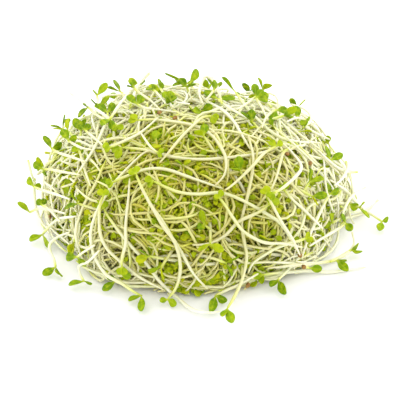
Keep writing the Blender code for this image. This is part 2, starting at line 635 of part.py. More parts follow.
def fused_sprout(draw, number, placed, fused):
    """One sprout of the tangle that is clear of all outside sprouts, and whose leaves touch nothing, or
    None."""
    stray = number % STRAY_EVERY == 0
    for _ in range(MOST_TRIES):
        turn = number * GOLDEN_ANGLE + draw.uniform(-TURN_JITTER, TURN_JITTER)
        rise = math.asin((number + draw.random()) / TANGLE_SPROUTS)
        heights = STRAY_HEIGHTS if stray and math.sin(turn) > FRONT_SIDE else LEAF_HEIGHTS
        stem = smooth_run(wander(draw, turn, rise, draw.uniform(*heights)), SPACING)
        blades = leaf_tips(draw, stem)
        leaves = [np.linspace(base, tip, LEAF_SAMPLES)[1:] for base, tip, _, _ in blades]
        points = np.vstack([stem] + leaves)
        radii = np.full(len(points), LEAF_GUARD)
        radii[: len(stem)] = STEM_RADIUS
        touching = placed.shortfall(points, radii).max() > 0.0
        crowded = fused.shortfall(points[len(stem) :], radii[len(stem) :]).max() > 0.0
        too_low = (points[:, 2] < radii + LOW_GAP).any()
        if not (touching or crowded or too_low):
            fused.add(points, radii)
            return stem, blades
    return None


def make_tangle(placed, materials):
    """The body of the heap: the core with sprouts fused to it, spread evenly over all its sides."""
    draw = random.Random(TANGLE_SEED)
    tangle = as_object("tangle", core_shape(draw), materials)
    fused = Placed()
    pieces = []
    for number in range(TANGLE_SPROUTS):
        found = fused_sprout(draw, number, placed, fused)
        if found:
            sprout, leaves = make_sprout("fused_sprout", *found, 3, materials)
            pieces += [sprout] + leaves
    fuse(tangle, pieces)
    return tangle


def main():
    for obj in list(bpy.data.objects):
        bpy.data.objects.remove(obj)
    stem_material = make_material("sprout_stem", STEM_COLOUR, 0.45)
    leaf_material = make_material("seed_leaf", LEAF_COLOUR, 0.5)
    coat_material = make_material("seed_coat", SEED_COAT_COLOUR, 0.6)
    materials = [stem_material, leaf_material]
    placed = Placed()
    parts = []
    for number, (route, tips) in enumerate(FRONT_SPROUTS, 1):
        stem, blades = lay_sprout(route, tips, placed)
        sprout, leaves = make_sprout(f"sprout_{number:02d}", stem, blades, 4, materials)
        fuse(sprout, leaves)
        parts.append(sprout)
    draw = random.Random(TANGLE_SEED + 1)
    for number, view in enumerate(SEED_COATS, 1):
        name = f"seed_coat_{number:02d}"
        parts.append(make_seed_coat(name, view, placed, draw, coat_material))
    parts.append(make_tangle(placed, materials))
    heap = bpy.data.objects.new("alfalfa_sprouts", None)
    bpy.context.scene.collection.objects.link(heap)
    for part in parts:
        part.parent = heap


main()
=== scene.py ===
"""Alfalfa sprouts: the finish of one loose, tangled heap of fresh sprouts.

Every sprout that is a node of the frame gets a fine, smooth stem with its tapering root tip and neck,
and its thin seed leaves. The body of the heap becomes a mat of many sprouts in layers, round a core painted
dark as shade, with the tips and leaves that stick out of it. Routes are laid by the same rule as the solids,
so each fine piece lies where its node is.

Lengths are in millimetres, and become metres where a mesh is made.
"""

import math
import random

import bmesh
import bpy
import numpy as np
from mathutils import Matrix, Vector
from mathutils.kdtree import KDTree


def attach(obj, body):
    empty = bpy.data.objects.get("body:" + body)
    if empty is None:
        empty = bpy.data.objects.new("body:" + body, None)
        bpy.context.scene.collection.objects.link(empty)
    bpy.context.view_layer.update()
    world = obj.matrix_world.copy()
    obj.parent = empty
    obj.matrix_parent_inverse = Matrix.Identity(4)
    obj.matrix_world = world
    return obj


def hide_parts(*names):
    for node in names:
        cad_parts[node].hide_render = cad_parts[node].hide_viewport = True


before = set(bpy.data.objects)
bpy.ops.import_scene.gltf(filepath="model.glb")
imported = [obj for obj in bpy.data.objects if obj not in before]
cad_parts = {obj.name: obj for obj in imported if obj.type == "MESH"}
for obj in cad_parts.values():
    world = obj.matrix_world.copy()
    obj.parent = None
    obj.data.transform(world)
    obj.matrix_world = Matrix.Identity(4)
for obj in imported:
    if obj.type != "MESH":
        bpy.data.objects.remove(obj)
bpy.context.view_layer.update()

MM = 0.001
PHOTO_SIDE = 400
PHOTO_SCALE = 2.6  # pixels of the photograph for each millimetre at the middle of the base
PHOTO_MIDDLE = (196, 215)  # the pixel that shows the middle of the base
SENSOR_WIDTH = 36.0

# The heap's skin, the layer that its outer sprouts lie in
HEAP_HALF_WIDTH = 59.0
HEAP_HALF_DEPTH = 54.0
HEAP_HEIGHT = 46.0
HEAP_SHOULDER = 2.4  # 2 is an ellipsoid; above it the flanks are steeper and the top is flatter
HEAP_TOP_SHIFT = -4.0  # the top lies to the left of the middle
HEAP_LUMPS = 0.028  # how far the skin swells and sinks, as a share of its size

# One sprout
STEM_RADIUS = 0.65
NECK_RADIUS = 0.46
ROOT_TIP_RADIUS = 0.36
NECK_LENGTH = 9.0
ROOT_TAPER = 14.0
LEAF_LENGTH = 5.4
LEAF_HALF_WIDTH = 1.65
LEAF_ROOT = 0.4  # how far a leaf is sunk into its stem
LEAF_OPENING = (30.0, 62.0)  # angle between a leaf and its stem, in degrees
LEAF_ROLL = 0.6
LEAF_SIZES = (0.85, 1.1)
LEAF_SAMPLES = 6  # points along a leaf, from its root to its tip, that are kept clear of others
LEAF_GUARD = 1.7  # radius kept clear round a leaf's midline
LEAF_LIFT = 0.7  # how much more than that a leaf stands off the floor
GAP = 0.5  # clear space that is kept between two sprouts when they are laid

# The front view: routes below are (right, up), as an eye sees them that looks down on the middle of the base
VIEW_TILT = math.radians(33.5)
EYE_DISTANCE = 600.0
RIGHT = np.array((1.0, 0.0, 0.0))
UP = np.array((0.0, math.sin(VIEW_TILT), math.cos(VIEW_TILT)))
EYE = EYE_DISTANCE * np.array((0.0, -math.cos(VIEW_TILT), math.sin(VIEW_TILT)))

# Laying a sprout along its route
SPACING = 1.5
CURVE_STEPS = 12  # points of the smooth curve between two points of a route
SETTLING_PASSES = 4
LAYING_HEIGHT = -1.4  # height of a stem's middle over the heap's skin, where it crosses nothing
HUMP = 9.0  # half length of the hump in which a stem passes over another
MOST_LIFTS = 60
LIFT_SHARE = 0.6  # share of a shortfall that one lift makes up
LEAST_LIFT = 0.05
LEAF_SLANT = 0.6  # how steeply a leaf may lean towards the eye or away
FLOOR_GAP = 0.15
SIGHT_RANGE = 100.0  # how far before and behind the middle of the heap a sight line is followed
SPRINGINESS = 24  # smoothing passes that bridge hollows, as a springy stem does

# The sprouts that the tangle's solid shows
TANGLE_SPROUTS = 47
TANGLE_SEED = 26
INSIDE = 50.0  # distance from the middle at which a point starts before it is settled
ROOT_HEIGHT = -10.0
LYING_HEIGHTS = (-5.7, -4.0)
LEAF_HEIGHTS = (-3.2, 1.2)
LEAF_RAISE = 0.25  # how much its leaves lean out of the heap
STRAY_HEIGHTS = (2.0, 4.8)
STRAY_EVERY = 4  # one in so many sprouts stands out of the heap, except towards the front
FRONT_SIDE = -0.3  # sine of the turn below which a sprout is at the front
TURN_JITTER = 0.3
RISING_STEPS, LIFTING_STEPS = 1.5, 1.6  # steps in which it comes up out of the core, and lifts its leaves
MOST_TRIES = 60
FEWEST_STEPS, MOST_STEPS, STEP = 6, 10, 4.6
SHARPEST_CURL = 0.16  # turn at each step, in radians
ROOT_FLOOR_GAP = 1.0
FUSED_FLOOR_GAP = 0.4
LOW_GAP = 0.3
GOLDEN_ANGLE = math.pi * (3.0 - math.sqrt(5.0))
CORE_SIDES = 28
CORE_RINGS = 10

# The mat of sprouts between the core and the outside ones. Each layer: how many, the heights that they lie
# at, their radii, how many open their leaves, and how much painted shade they get, from 0 outside to 1 deep
# down
MAT_LAYERS = (
    ("mat_deep", 800, (-9.6, -7.2), (0.40, 0.50), 0.45, 1.0),
    ("mat_middle", 760, (-7.2, -5.0), (0.44, 0.56), 0.7, 0.95),
    ("mat_upper", 580, (-5.0, -3.2), (0.46, 0.58), 0.6, 0.75),
    ("mat_skin", 240, (-3.2, -1.4), (0.46, 0.58), 0.5, 0.45),
)
MAT_SEED = 7
MAT_STEPS = 13
MAT_STEP = 3.3
MAT_TURN_JITTER = 0.3
MAT_CURLS = (0.08, 0.32)  # turn at each step, in radians
MAT_BEND = 0.5  # how much that may grow or shrink along the way, as a share of the sharpest
MAT_WAVE = 0.2
MAT_PACES = (0.4, 0.9)
MAT_SWAY = 0.9  # how far a sprout rises and sinks along the way
MAT_FLOORS = (0.85, 4.5)  # the lowest that each sprout of the mat lies
MAT_TAPER = ((0.0, 0.3, 0.8, 1.0), (0.6, 1.0, 1.0, 0.72))  # shares of its length, and its thickness there
MAT_GAP = 0.1  # clear space between the mat and the outside sprouts
PRESSINGS = 4
PRESSED_NEIGHBOUR = 0.6  # how much of the way down its neighbours go with a point that is pressed down
PRESSED_MORE = 1.1
PRESSED_FLOOR = 0.5
MAT_LEAF_SIZES = (0.42, 0.72)
MAT_LEAF_ROLL = 1.0
MAT_LEAF_RAISE = 0.3
MAT_LEAF_TONES = (0.25, 1.0)
MAT_LEAF_FLOOR = 2.2  # the lowest that the middle of a leaf lies
LEAF_TIP_GUARD, LEAF_MIDDLE_GUARD = 0.6, 0.7  # what a leaf of the mat keeps clear of the outside sprouts
LEAFY_SHARES = ((0.5, 0.85), (0.45, 0.12))  # how far out in the front view, and how many open leaves there

# Small seed leaves packed between the sprouts of the mat
LITTER = 5000  # how many are tried
LITTER_HEIGHTS = (-5.2, -2.4)
LITTER_SIZES = (0.3, 0.52)
LITTER_PATCH = 0.42  # radians for each millimetre, of the waves that make the patches that it lies in
LITTER_REACH, LITTER_LEAST = 1.15, 0.12  # how far out in the front view it thins out, and to how much
LITTER_LEAN = 0.35  # how far it leans out of the heap
LITTER_TILT = 0.45
LITTER_ROLL = 0.7
LITTER_GUARD = 0.8
LITTER_TONES = (0.65, 1.0)

# Stems that stand out of the mat in loops
LOOP_TRIES = 690
LOOP_HEIGHTS = (-3.5, -3.0)
LOOP_RISE = (1.5, 5.2)
LOOP_PEAKS = (0.3, 1.0)  # where along its length a loop is highest
LOOP_SPREAD = 0.32
LOOP_RADII = (0.36, 0.48)
LOOP_FLOOR_GAP = 0.2
LOOP_REACH = 0.7  # they stand outside this share of the front view's outline
LOOP_LEAFY_PEAK, LOOP_LEAFY = 0.7, 0.25  # of those that are highest past this, so many open their leaves
LOOP_LEAF_TONES = (0.0, 1.0)

# Painted shade: the sprouts at the rim of the front view are painted paler, as if in more daylight, and those
# behind are painted so in patches
VIEW_MIDDLE = (-1.5, 8.5)
RIM_HALF_SIZE = (60.0, 41.5)  # of the heap's outline in the front view
RIM_START, RIM_WIDTH = 0.4, 0.4
RIM_PAINTED_LIGHT = 0.9  # how much less painted shade the sprouts at the rim get
DAYLIT_BASE = 0.78  # how far the lower half of the front view is drawn in when the rim of the painted shade is found
BEHIND_SPAN = 0.5  # sine of how far past the outline a face is turned where the back's own patches of painted shade hold in full
SHADE_PATCHES = (0.09, 0.05, 0.11)  # radians for each millimetre in x, y and z, of the waves that make the patches of painted shade

# The core: the heap's middle, painted dark as shade
CORE_DEPTH = -10.2
CORE_LUMPS = 0.7
CORE_WAVES = (0.9, 0.8, 0.7)  # radians for each millimetre in x, y and z, of the waves that make its lumps
CORE_FLOOR_GAP = 0.3
CORE_FOOT_GAP = 0.2
CORE_FOOT_IN = 1.5  # how much deeper its foot lies

# Meshes
FINE_SIDES, FINE_STEPS = 10, 44
PLAIN_SIDES = 5
OFF_AXIS = (0.3, 0.2, 1.0)  # the first frame of each line is square to this
STEM_END = 0.55  # the radius of a stem's blunt end, as a share of its own
FINE_SWELL = 0.93  # a fine stem's thickness, as a share of what stem_radii says
SWELLS = ((0.05, 3.1, 1.0), (0.03, 1.3, 2.0))  # its waves: how much, how long, and the shift between sprouts
LOOSE_LIFT = 2.0  # the most that a loose sprout rises over others

# A seed leaf's outline: how far along it each place lies, and its half width there
LEAF_STATIONS = (
    (0.0, 0.17), (0.16, 0.17), (0.27, 0.42), (0.42, 0.82),
    (0.58, 1.0), (0.76, 0.95), (0.9, 0.66), (1.0, 0.2),
)
LEAF_THICKNESS = 0.5
LEAF_SLIMNESS = 0.36  # the most half width that a leaf has, as a share of its length
MIDRIB_DEPTH = 0.3
STALK_SHARE, STALK_FADE = 0.2, 0.3  # where along a leaf its stalk ends, and over how much it thickens
STALK_THICKNESS = 0.8

# The ranges of a leaf's width, of how cupped it is and of how arched
FINE_LEAF_SHAPES = ((0.85, 1.05), (0.05, 0.5), (-0.06, 0.16))
MAT_LEAF_SHAPES = ((0.9, 1.05), (-0.05, 0.3), (-0.05, 0.12))
LITTER_SHAPES = ((0.9, 1.1), (0.1, 0.7), (-0.1, 0.25))

# Leaves on the face of the heap, within this share of its outline, are smaller and lighter
FACE_REACH = 0.8
FACE_LEAF_SIZE = 0.72
FACE_LEAF_TONE = 0.5  # the least of their tones
LEAF_TONE, LEAF_TONE_SPREAD = 0.65, 0.1  # the most of a sprout's own tone, and how far its leaves differ

# Clusters of short sprouts on the face of the heap
INNER_SIZES = (0.78, 0.62, 0.54, 0.48)  # of the sprouts in a cluster
INNER_SPREAD = 3.0
INNER_REACH = 0.9  # the share of the front view's outline that their stems keep to
INNER_LEAF = 2.6  # half length of a leaf of size 1
INNER_OPENING = (1.1, 1.7)  # angle between its two leaves, in radians
INNER_STEM = ((14.0, 2.0), (9.0, 1.0), (4.5, 0.4))  # on a stem: how far behind the leaves, and bowed aside
INNER_SECOND_LEAF = 0.85  # its length, as a share of the first one's
INNER_BOW = 2.0
INNER_HEIGHTS = (-9.0, -7.0, -4.6, -3.4, -2.9, -2.6, -2.9, -2.6)  # along the stem, then along each leaf
INNER_GUARDS = (0.6, 0.6, 0.6, 0.7, 1.2, 1.2, 1.2, 1.2)  # radius kept clear at each of those
INNER_FLOOR_GAP = 0.9
INNER_SLANT = 6.0
INNER_TRIES = 12
INNER_SINK, INNER_LEAST_SINK = 0.7, 0.2
INNER_ROLL = 0.6
INNER_RADIUS = 0.52
INNER_TAPER = ((0.0, 0.3, 0.7, 1.0), (0.7, 1.0, 1.0, 0.8))
# how much painted shade the inner stems get, from 0 to 1
INNER_SHADE = 0.8
INNER_TONES = (0.4, 1.0)

# Seed coats
SEED_COAT_HALF_SIZE = (1.25, 0.85, 0.65)
COAT_BEND = 0.35
COAT_WALL = 0.12
COAT_STEP = 0.05

# Finishes
STEM_BUMPS = (1600.0, 4.0, 0.25, 0.0002)  # waves for each metre, detail, strength, and height in metres
UNDERSIDE_PAINTED_SHADE = (0.1, 0.7)  # how far round to its underside a stem's painted shade starts, and is darkest

# Light
FLOOR_SIZE = 8.0  # metres
FLOOR_GREY = 0.92
ROOM_LIGHT = 1.4
LAMPS = (  # name, place in metres, power in watts, size in metres
    ("key", (-0.9, 0.6, 0.8), 4.0, 0.6),
    ("right_edge", (1.1, 0.4, 0.7), 3.5, 0.6),
    ("overhead", (0.0, 0.5, 1.2), 1.0, 0.8),
)

# Each sprout on the outside of the heap: its route from the root tip to where the seed leaves part, and for
# each seed leaf its tip (right, up) and how far it is turned edge-on, in degrees
FRONT_SPROUTS = (
    (((65.5, -20), (59, -21), (51.5, -22), (43, -21.5), (36, -22), (29, -22.5), (26, -23)),
     ((21.5, -23.5, 10), (25, -26.5, 50))),
    (((24, -22.5), (17, -26.5), (11.5, -29), (7.5, -31)),
     ((12, -33, 10), (5.5, -37.5, 10))),
    (((-19, -26), (-25.5, -26), (-31, -25.5)),
     ((-36, -29, 10), (-34, -24, 60))),
    (((9.5, -37), (6, -37.5), (-1, -36.5), (-7.5, -31.5), (-14, -25.5), (-19.5, -18),
      (-27, -9.5), (-33.5, -1), (-35.5, 2.5)),
     ((-39, 4.5, 0), (-34, 6.5, 20))),
    (((70, 6), (66, 1.5), (60.5, -0.5), (55.5, -1.5), (52.5, -3)),
     ((48.5, -4, 0), (51.5, 0.5, 30))),
    (((34, 27.5), (32, 26.5), (23.5, 23.5), (6, 21.5), (-7.5, 22), (-19.5, 25), (-28.5, 26)),
     ((-34, 24, 10), (-31.5, 20, 0))),
    (((-17.5, 24.5), (-20.5, 23.5), (-29.5, 14.5), (-36, 5.5), (-39.5, -2.5), (-40.5, -8.5),
      (-39, -16), (-34.5, -23), (-29, -26), (-24, -29.5), (-21, -31)),
     ((-26, -33, 75), (-21, -37, 10))),
    (((10.5, 10), (-2.5, 14.5), (-11.5, 17.5), (-19.5, 17.5), (-29, 14), (-32, 12.5)),
     ((-36, 13, 0), (-34, 9.5, 20))),
    (((7, 11), (11, 15.5), (11.5, 21.5), (9.5, 26), (5.5, 31), (-1.5, 34.5), (-14, 36.5),
      (-22.5, 36.5)),
     ((-27.5, 36, 0), (-26, 39.5, 20))),
    (((-14, 20), (-11, 23.5), (-5.5, 30), (-1, 34.5), (2.5, 37.5), (6, 38)),
     ((10, 37.5, 30), (7.5, 34, 0))),
    (((48.5, 27.5), (44.5, 28), (40, 28), (32, 30), (26, 34.5), (19.5, 41.5), (15, 47.5)),
     ((10, 53, 80),)),
    (((21, 25), (17.5, 31), (14.5, 36), (10, 40.5), (4.5, 43.5), (0, 47.5), (-2.5, 50.5)),
     ((-12, 54.5, 60), (-9, 50, 0), (0.5, 56, 40))),
    (((20, 31), (22, 22.5), (21.5, 15.5), (19.5, 6), (17.5, -2.5), (18.5, -10), (19.5, -16),
      (18, -24), (15, -31), (12, -36)),
     ((14, -41.5, 0), (10, -39, 70))),
    (((39, -14), (33, -4), (27, 0.5), (17, 6), (9.5, 8.5), (0.5, 8), (-7.5, 9), (-16.5, 13)),
     ((-21, 14.5, 0), (-19, 9.5, 30))),
    (((4.5, -28.5), (-1, -22.5), (-5.5, -14.5), (-9.5, -8), (-13.5, -1.5), (-17.5, 4), (-22, 13),
      (-23, 16)),
     ((-27, 17.5, 0), (-22.5, 20, 20))),
    (((-21.5, 11), (-17.5, 4), (-12.5, -4.5), (-8, -11), (-6, -20), (-7.5, -27.5), (-11, -32.5)),
     ((-7.5, -34.5, 0), (-14, -33, 40))),
    (((-12, -29), (-21.5, -24), (-29.5, -17.5), (-34.5, -12.5), (-37, -6), (-37, 3.5),
      (-35.5, 7.5)),
     ((-38.5, 10.5, 10), (-33, 10.5, 10))),
    (((-25.5, 14), (-26, 6), (-27, -4), (-27, -11), (-28.5, -17), (-28.5, -20)),
     ((-30.5, -24, 20), (-26, -24, 0))),
    (((20, -22.5), (22, -18.5), (28.5, -14), (34, -11.5), (39.5, -10), (42, -9)),
     ((44.5, -6, 20), (46, -10, 30))),
    (((-1.5, -11.5), (4.5, -11), (11, -8), (16.5, -2.5), (24, 1), (28, 4)),
     ((33.5, 6.5, 0), (29, 9, 0))),
    (((41, -12.5), (34, -11), (26, -10.5), (18.5, -6.5), (14.5, -1.5), (11, 4), (9, 6.5)),
     ((6, 8, 0), (10, 11, 20))),
    (((40.5, -17), (43, -9.5), (46.5, -1.5), (50.5, 6.5), (51, 8)),
     ((50, 12.5, 20), (55, 10, 20))),
    (((40, -16), (36, -20.5), (31.5, -25)),
     ((34.5, -30.5, 40), (28.5, -27.5, 60))),
    (((40, -15.5), (37, -9), (33, -3), (29, 4.5), (27, 8)),
     ((24, 10.5, 0), (27.5, 12.5, 0))),
    (((49, -5.5), (42.5, 1), (37, 6), (34, 9.5)),
     ((31, 12, 0), (35, 14, 10))),
    (((43.5, -12), (51, -7.5), (56, -4.5), (57.5, -3)),
     ((56, 0.5, 30), (60, -6, 30))),
    (((11, 9.5), (14, 11.5), (21, 18), (26, 23.5), (31, 26.5)),
     ((27, 29, 0), (34, 29, 20))),
    (((33.5, 27.5), (37, 24), (40.5, 19), (39, 15.5), (33.5, 10.5), (30, 8.5)),
     ((26, 7, 0), (28.5, 4.5, 30))),
    (((-14.5, 37.5), (-21.5, 31.5), (-28.5, 28), (-33, 26)),
     ((-37, 27.5, 0), (-35.5, 23.5, 10))),
    (((-40.5, 11), (-42.5, 16.5), (-44, 22), (-45, 25)),
     ((-49, 25.5, 0), (-46, 29, 10))),
    (((-45.5, 16), (-39, 26), (-34.5, 36), (-34, 39.5)),
     ((-38, 42.5, 0), (-31.5, 43, 40))),
    (((-48.5, 47), (-44.5, 44), (-41, 42), (-36, 39), (-30.5, 34.5)),
     ((-32.5, 31.5, 0), (-27, 32.5, 0))),
    (((-17.5, 39.5), (-22.5, 42), (-26.5, 44.5), (-29, 47.5)),
     ((-31.5, 52, 60), (-34, 49, 70))),
    (((-17.5, 54.5), (-23, 49.5), (-27, 45.5), (-30, 41.5), (-33, 37)),
     ((-36.5, 34.5, 20), (-32, 33, 20))),
    (((-7.5, 39.5), (-14, 40.5), (-19, 41), (-22.5, 42.5)),
     ((-26.5, 46, 0), (-21, 46, 30))),
    (((-35.5, 26.5), (-39, 29.5), (-42.5, 32.5)),
     ((-46, 36, 0), (-41, 35, 40))),
    (((-40, 25), (-44.5, 26), (-49, 28.5)),
     ((-51.5, 33, 20), (-46, 30.5, 60))),
    (((-42.5, 20.5), (-48.5, 22.5), (-53, 24), (-55.5, 25.5)),
     ((-58.5, 30.5, 50), (-51.5, 27.5, 70))),
    (((-44.5, 15.5), (-51, 16.5), (-56, 17.5), (-58.5, 17.5)),
     ((-62.5, 20, 0), (-57.5, 15, 30))),
    (((-48.5, 6), (-54, 8), (-59, 9.5), (-62.5, 11)),
     ((-64.5, 14.5, 0), (-59.5, 11, 0))),
    (((-50, 0.5), (-56, 2), (-60.5, 2.5), (-64, 1)),
     ((-68.5, 5, 80),)),
    (((-46, -0.5), (-52.5, -1.5), (-56, -4), (-59, -7.5)),
     ((-64, -10, 30), (-56, -12.5, 20))),
    (((-48.5, -6.5), (-54, -9), (-56.5, -12.5), (-54.5, -17.5), (-54, -20)),
     ((-59, -23, 0), (-51.5, -23.5, 60))),
    (((-37, -13.5), (-41.5, -18), (-45, -19.5), (-44.5, -23), (-43, -25.5)),
     ((-49, -27, 70), (-40, -26.5, 50))),
    (((62.5, 16.5), (57.5, 17.5), (54, 20), (51.5, 21)),
     ((50, 26.5, 20), (56.5, 23.5, 0), (47.5, 20, 50))),
    (((51.5, 13.5), (57.5, 9.5), (60, 6.5), (64, 2.5), (68.5, -0.5), (71.5, -2.5)),
     ((74, -1, 20), (70.5, -6, 50))),
    (((38.5, -18), (47, -18.5), (53.5, -17), (59.5, -13.5)),
     ((62.5, -11, 50), (64, -14, 75))),
    (((27.5, -20.5), (36, -19.5), (44.5, -19), (50.5, -18), (54, -17.5)),
     ((58.5, -21.5, 10), (58, -17.5, 60))),
    (((15.5, 40.5), (19, 42.5), (23, 45.5)),
     ((22.5, 50.5, 0), (28, 46, 20))),
    (((51.5, 29), (46, 31.5), (42, 34), (39, 37)),
     ((38.5, 42, 0), (35, 38, 40))),
)

# Finer sprouts and bare root ends between them, in the same form
LOOSE_SPROUTS = (
    (((28.8, 9.6), (30.8, 14.2), (32.3, 19.6), (33.5, 23.8), (35.4, 25.4)), ()),
    (((-21.2, 31.5), (-17.5, 26.2), (-14.6, 23.8)), ((-11.5, 25.8, 0), (-12.7, 21.9, 30))),
    (((-13.8, 40.4), (-17.7, 44.2), (-21.2, 46.5), (-23.8, 48.8)), ((-25.4, 52.3, 20), (-26.5, 49.6, 60))),
    (((25.4, 33.5), (26.9, 37.3), (29.2, 39.6), (30.8, 40.4)), ((35.4, 40, 0), (29.2, 36.2, 20))),
    (((20.8, 36.5), (15.4, 39.6), (10, 43.1), (8.5, 44.6)), ((3.1, 47.7, 0), (15, 45, 0))),
    (((3.8, 44.2), (5.8, 46.5), (6.9, 48.1)), ((7.3, 51.9, 50), (5.8, 51.2, 70))),
    (((-2.3, 42.7), (-6.2, 43.1), (-9.6, 43.8)), ((-12.7, 47.3, 0), (-9.6, 47.7, 40))),
    (((29.2, -18.1), (36.2, -18.5), (40.8, -19.6), (43.5, -20.4)), ((48.5, -20.8, 0),)),
    (((-38.8, -11.5), (-43.1, -14.2), (-45.8, -16.2)), ((-50, -16.2, 20), (-42.3, -19.6, 20))),
    (((-35.4, 37.3), (-37.3, 42.7), (-38.1, 45.8)), ((-34.2, 50.8, 30), (-39.6, 48.1, 70))),
    (((-32.3, 35.8), (-37.7, 38.1), (-41.5, 41.5)), ((-45.4, 37.7, 10), (-43.5, 42.7, 80))),
    (((-17.7, 55), (-20.8, 52.3), (-23.1, 48.1), (-25.4, 41.9)), ()),
    (((-8.8, 41.2), (-11.5, 45.4), (-13.8, 48.8)), ((-14.2, 52.3, 60), (-12.7, 50.8, 70))),
    (((-11.5, 42.7), (-14.6, 46.5), (-16.2, 48.1)), ((-19.2, 48.5, 40), (-16.9, 50.4, 60))),
    (((2.7, 42.7), (1.2, 46.5), (1.9, 50.4), (3.8, 53.3), (6.5, 51.9), (8.5, 48.1), (10, 42.7)), ()),
    (((27.7, 36.5), (25.4, 41.2), (23.1, 45)), ((25.8, 48.1, 10), (27.7, 44.2, 0))),
    (((16.9, 46.5), (20.8, 47.3), (25.4, 45.4), (29.2, 41.2)), ()),
    (((34.6, 35.8), (38.8, 37.3), (42.3, 36.5)), ((40.4, 34.6, 20), (43.8, 37.7, 60))),
    (((36.2, 42.7), (40.8, 41.2), (43.8, 38.8), (44.2, 36.2), (41.2, 33.8)), ()),
    (((46.9, 25), (50.8, 21.2), (54.6, 18.1), (58.5, 16.5), (62.3, 16.5)), ()),
    (((53.1, 11.2), (55.8, 13.5), (58.1, 17.3), (57.7, 20.8)), ()),
    (((70.4, 5.8), (67.7, 3.5), (64.6, 1.9), (60, 1.2), (55.4, 3.5)), ()),
    (((60.8, -3.5), (59.2, 0), (58.8, 4.2)), ((62.3, 2.7, 20), (59.6, 3.5, 60))),
    (((65.4, 10.8), (60, 7.3), (57.3, 2.7), (55.4, -2.7)), ()),
    (((-56.2, -6.5), (-59.2, -2.7), (-61.5, 2.7), (-62.3, 11.2), (-61.9, 14.2)), ()),
    (((-61.5, 11.2), (-63.5, 16.5), (-64.6, 21.2)), ()),
    (((-52.3, -2.7), (-56.2, 1.9), (-59.2, 3.8)), ((-61.2, 5.8, 10), (-58.1, 6.2, 50))),
    (((-28.5, -18.1), (-29.2, -21.2), (-28.8, -22.7)), ((-25, -23.8, 0),)),
    (((60, -6.5), (60.8, -11.2), (57.7, -15), (51.5, -18.1)), ()),
)

# Seed leaves that show between the outside stems: the middle of one leaf (right, up) and the way that it
# points, in degrees
INNER_LEAVES = (
    (-50, 8.5, 110), (-49.6, 11.9, 70), (-47.3, 21.9, 60), (-52.7, 20, 170), (-45, 24.6, 200),
    (-35.4, 26.5, 100), (-26.9, 28.1, 180), (-16.2, 33.8, 30), (-14.6, 30.8, 60), (-13.5, 26.5, 240),
    (-35.4, 12.7, 80), (-40, 15, 200), (-10, 13.5, 20), (-5, 24.2, 10), (-24.6, 14.2, 80),
    (-45.4, -0.4, 170), (-41.2, 2.3, 60), (-42.3, -5.8, 250), (-43.5, -11.9, 260), (-49.6, -8.8, 80),
    (-53.5, -1.9, 200), (-55.4, -6.9, 120), (-16.2, -13.8, 40), (-11.9, -15, 190), (-10.4, -21.2, 270),
    (-9.2, -24.6, 100), (-5, -31.5, 10), (0, -26.5, 250), (-6.9, 0.8, 60), (-4.6, -5, 150),
    (10, 39.2, 80), (3.8, 25.4, 230), (10.4, 32.3, 20), (19.6, 32.7, 200), (18.8, 30, 300),
    (16.2, 28.1, 100), (33.5, 16.2, 260), (11.9, 17.3, 80), (25.4, 18.5, 110), (40.8, 11.2, 30),
    (44.6, 13.5, 60), (6.9, -2.7, 0), (9.2, -4.2, 300), (3.8, -8.8, 60), (12.3, -12.7, 30),
    (11.5, -15.4, 180), (6.5, -24.6, 10), (22.7, -23.5, 30), (33.8, -14.2, 200), (42.3, -8.1, 90),
    (50.4, -4.2, 180), (56.9, -1.5, 20), (18.8, 41.5, 100), (-13.8, 20, 240), (-20.8, 27.7, 10),
    (-30, 2.7, 100), (-2.3, -16.5, 150), (16.9, 2.7, 40), (-18.5, -0.8, 0),
)

# Where loose seed coats lie, in the same front view
SEED_COATS = (
    (40, -15.5), (41.5, -20), (-14, 39.5), (-8, 37.5), (44, 20), (35, 23.5), (20, -27), (-56, -0.5),
)


def heap_scale(points):
    """The size of the copy of the heap on whose skin each point lies: 1 on the heap's own skin."""
    x, y, z = np.moveaxis(np.asarray(points, float), -1, 0)
    z = np.maximum(z, 0.0) / HEAP_HEIGHT
    x = (x - HEAP_TOP_SHIFT * z) / HEAP_HALF_WIDTH
    y = y / HEAP_HALF_DEPTH
    level = np.hypot(x, y)
    turn = np.arctan2(y, x)
    wave = np.sin(3.0 * turn + 0.6)
    wave += 0.7 * np.sin(5.0 * turn - 2.0 * z)
    wave += 0.6 * np.sin(8.0 * turn + 5.0 * z)
    swell = 1.0 + HEAP_LUMPS * np.minimum(level, 1.0) * wave
    return (level**HEAP_SHOULDER + z**HEAP_SHOULDER) ** (1.0 / HEAP_SHOULDER) / swell


def heap_slope(points):
    """The gradient of heap_scale, which points straight out of the heap."""
    points = np.asarray(points, float)
    nudge = 0.05
    sides = [
        heap_scale(points + nudge * axis) - heap_scale(points - nudge * axis)
        for axis in np.eye(3)
    ]
    return np.stack(sides, axis=-1) / (2.0 * nudge)


def heap_height(points):
    """The height of each point over the heap's skin."""
    return (heap_scale(points) - 1.0) / np.linalg.norm(heap_slope(points), axis=-1)


def unit(vectors):
    """The vectors at length 1."""
    return vectors / np.linalg.norm(vectors, axis=-1, keepdims=True)


def settled(points, height, floor):
    """The points moved straight in or out to this height over the skin, and no lower than the floor."""
    points = np.array(points, float)
    for _ in range(SETTLING_PASSES):
        slope = heap_slope(points)
        steepness = np.linalg.norm(slope, axis=-1, keepdims=True)
        off = (heap_scale(points)[..., None] - 1.0) / steepness - np.asarray(height)[..., None]
        points -= off * slope / steepness
        points[..., 2] = np.maximum(points[..., 2], floor)
    return points


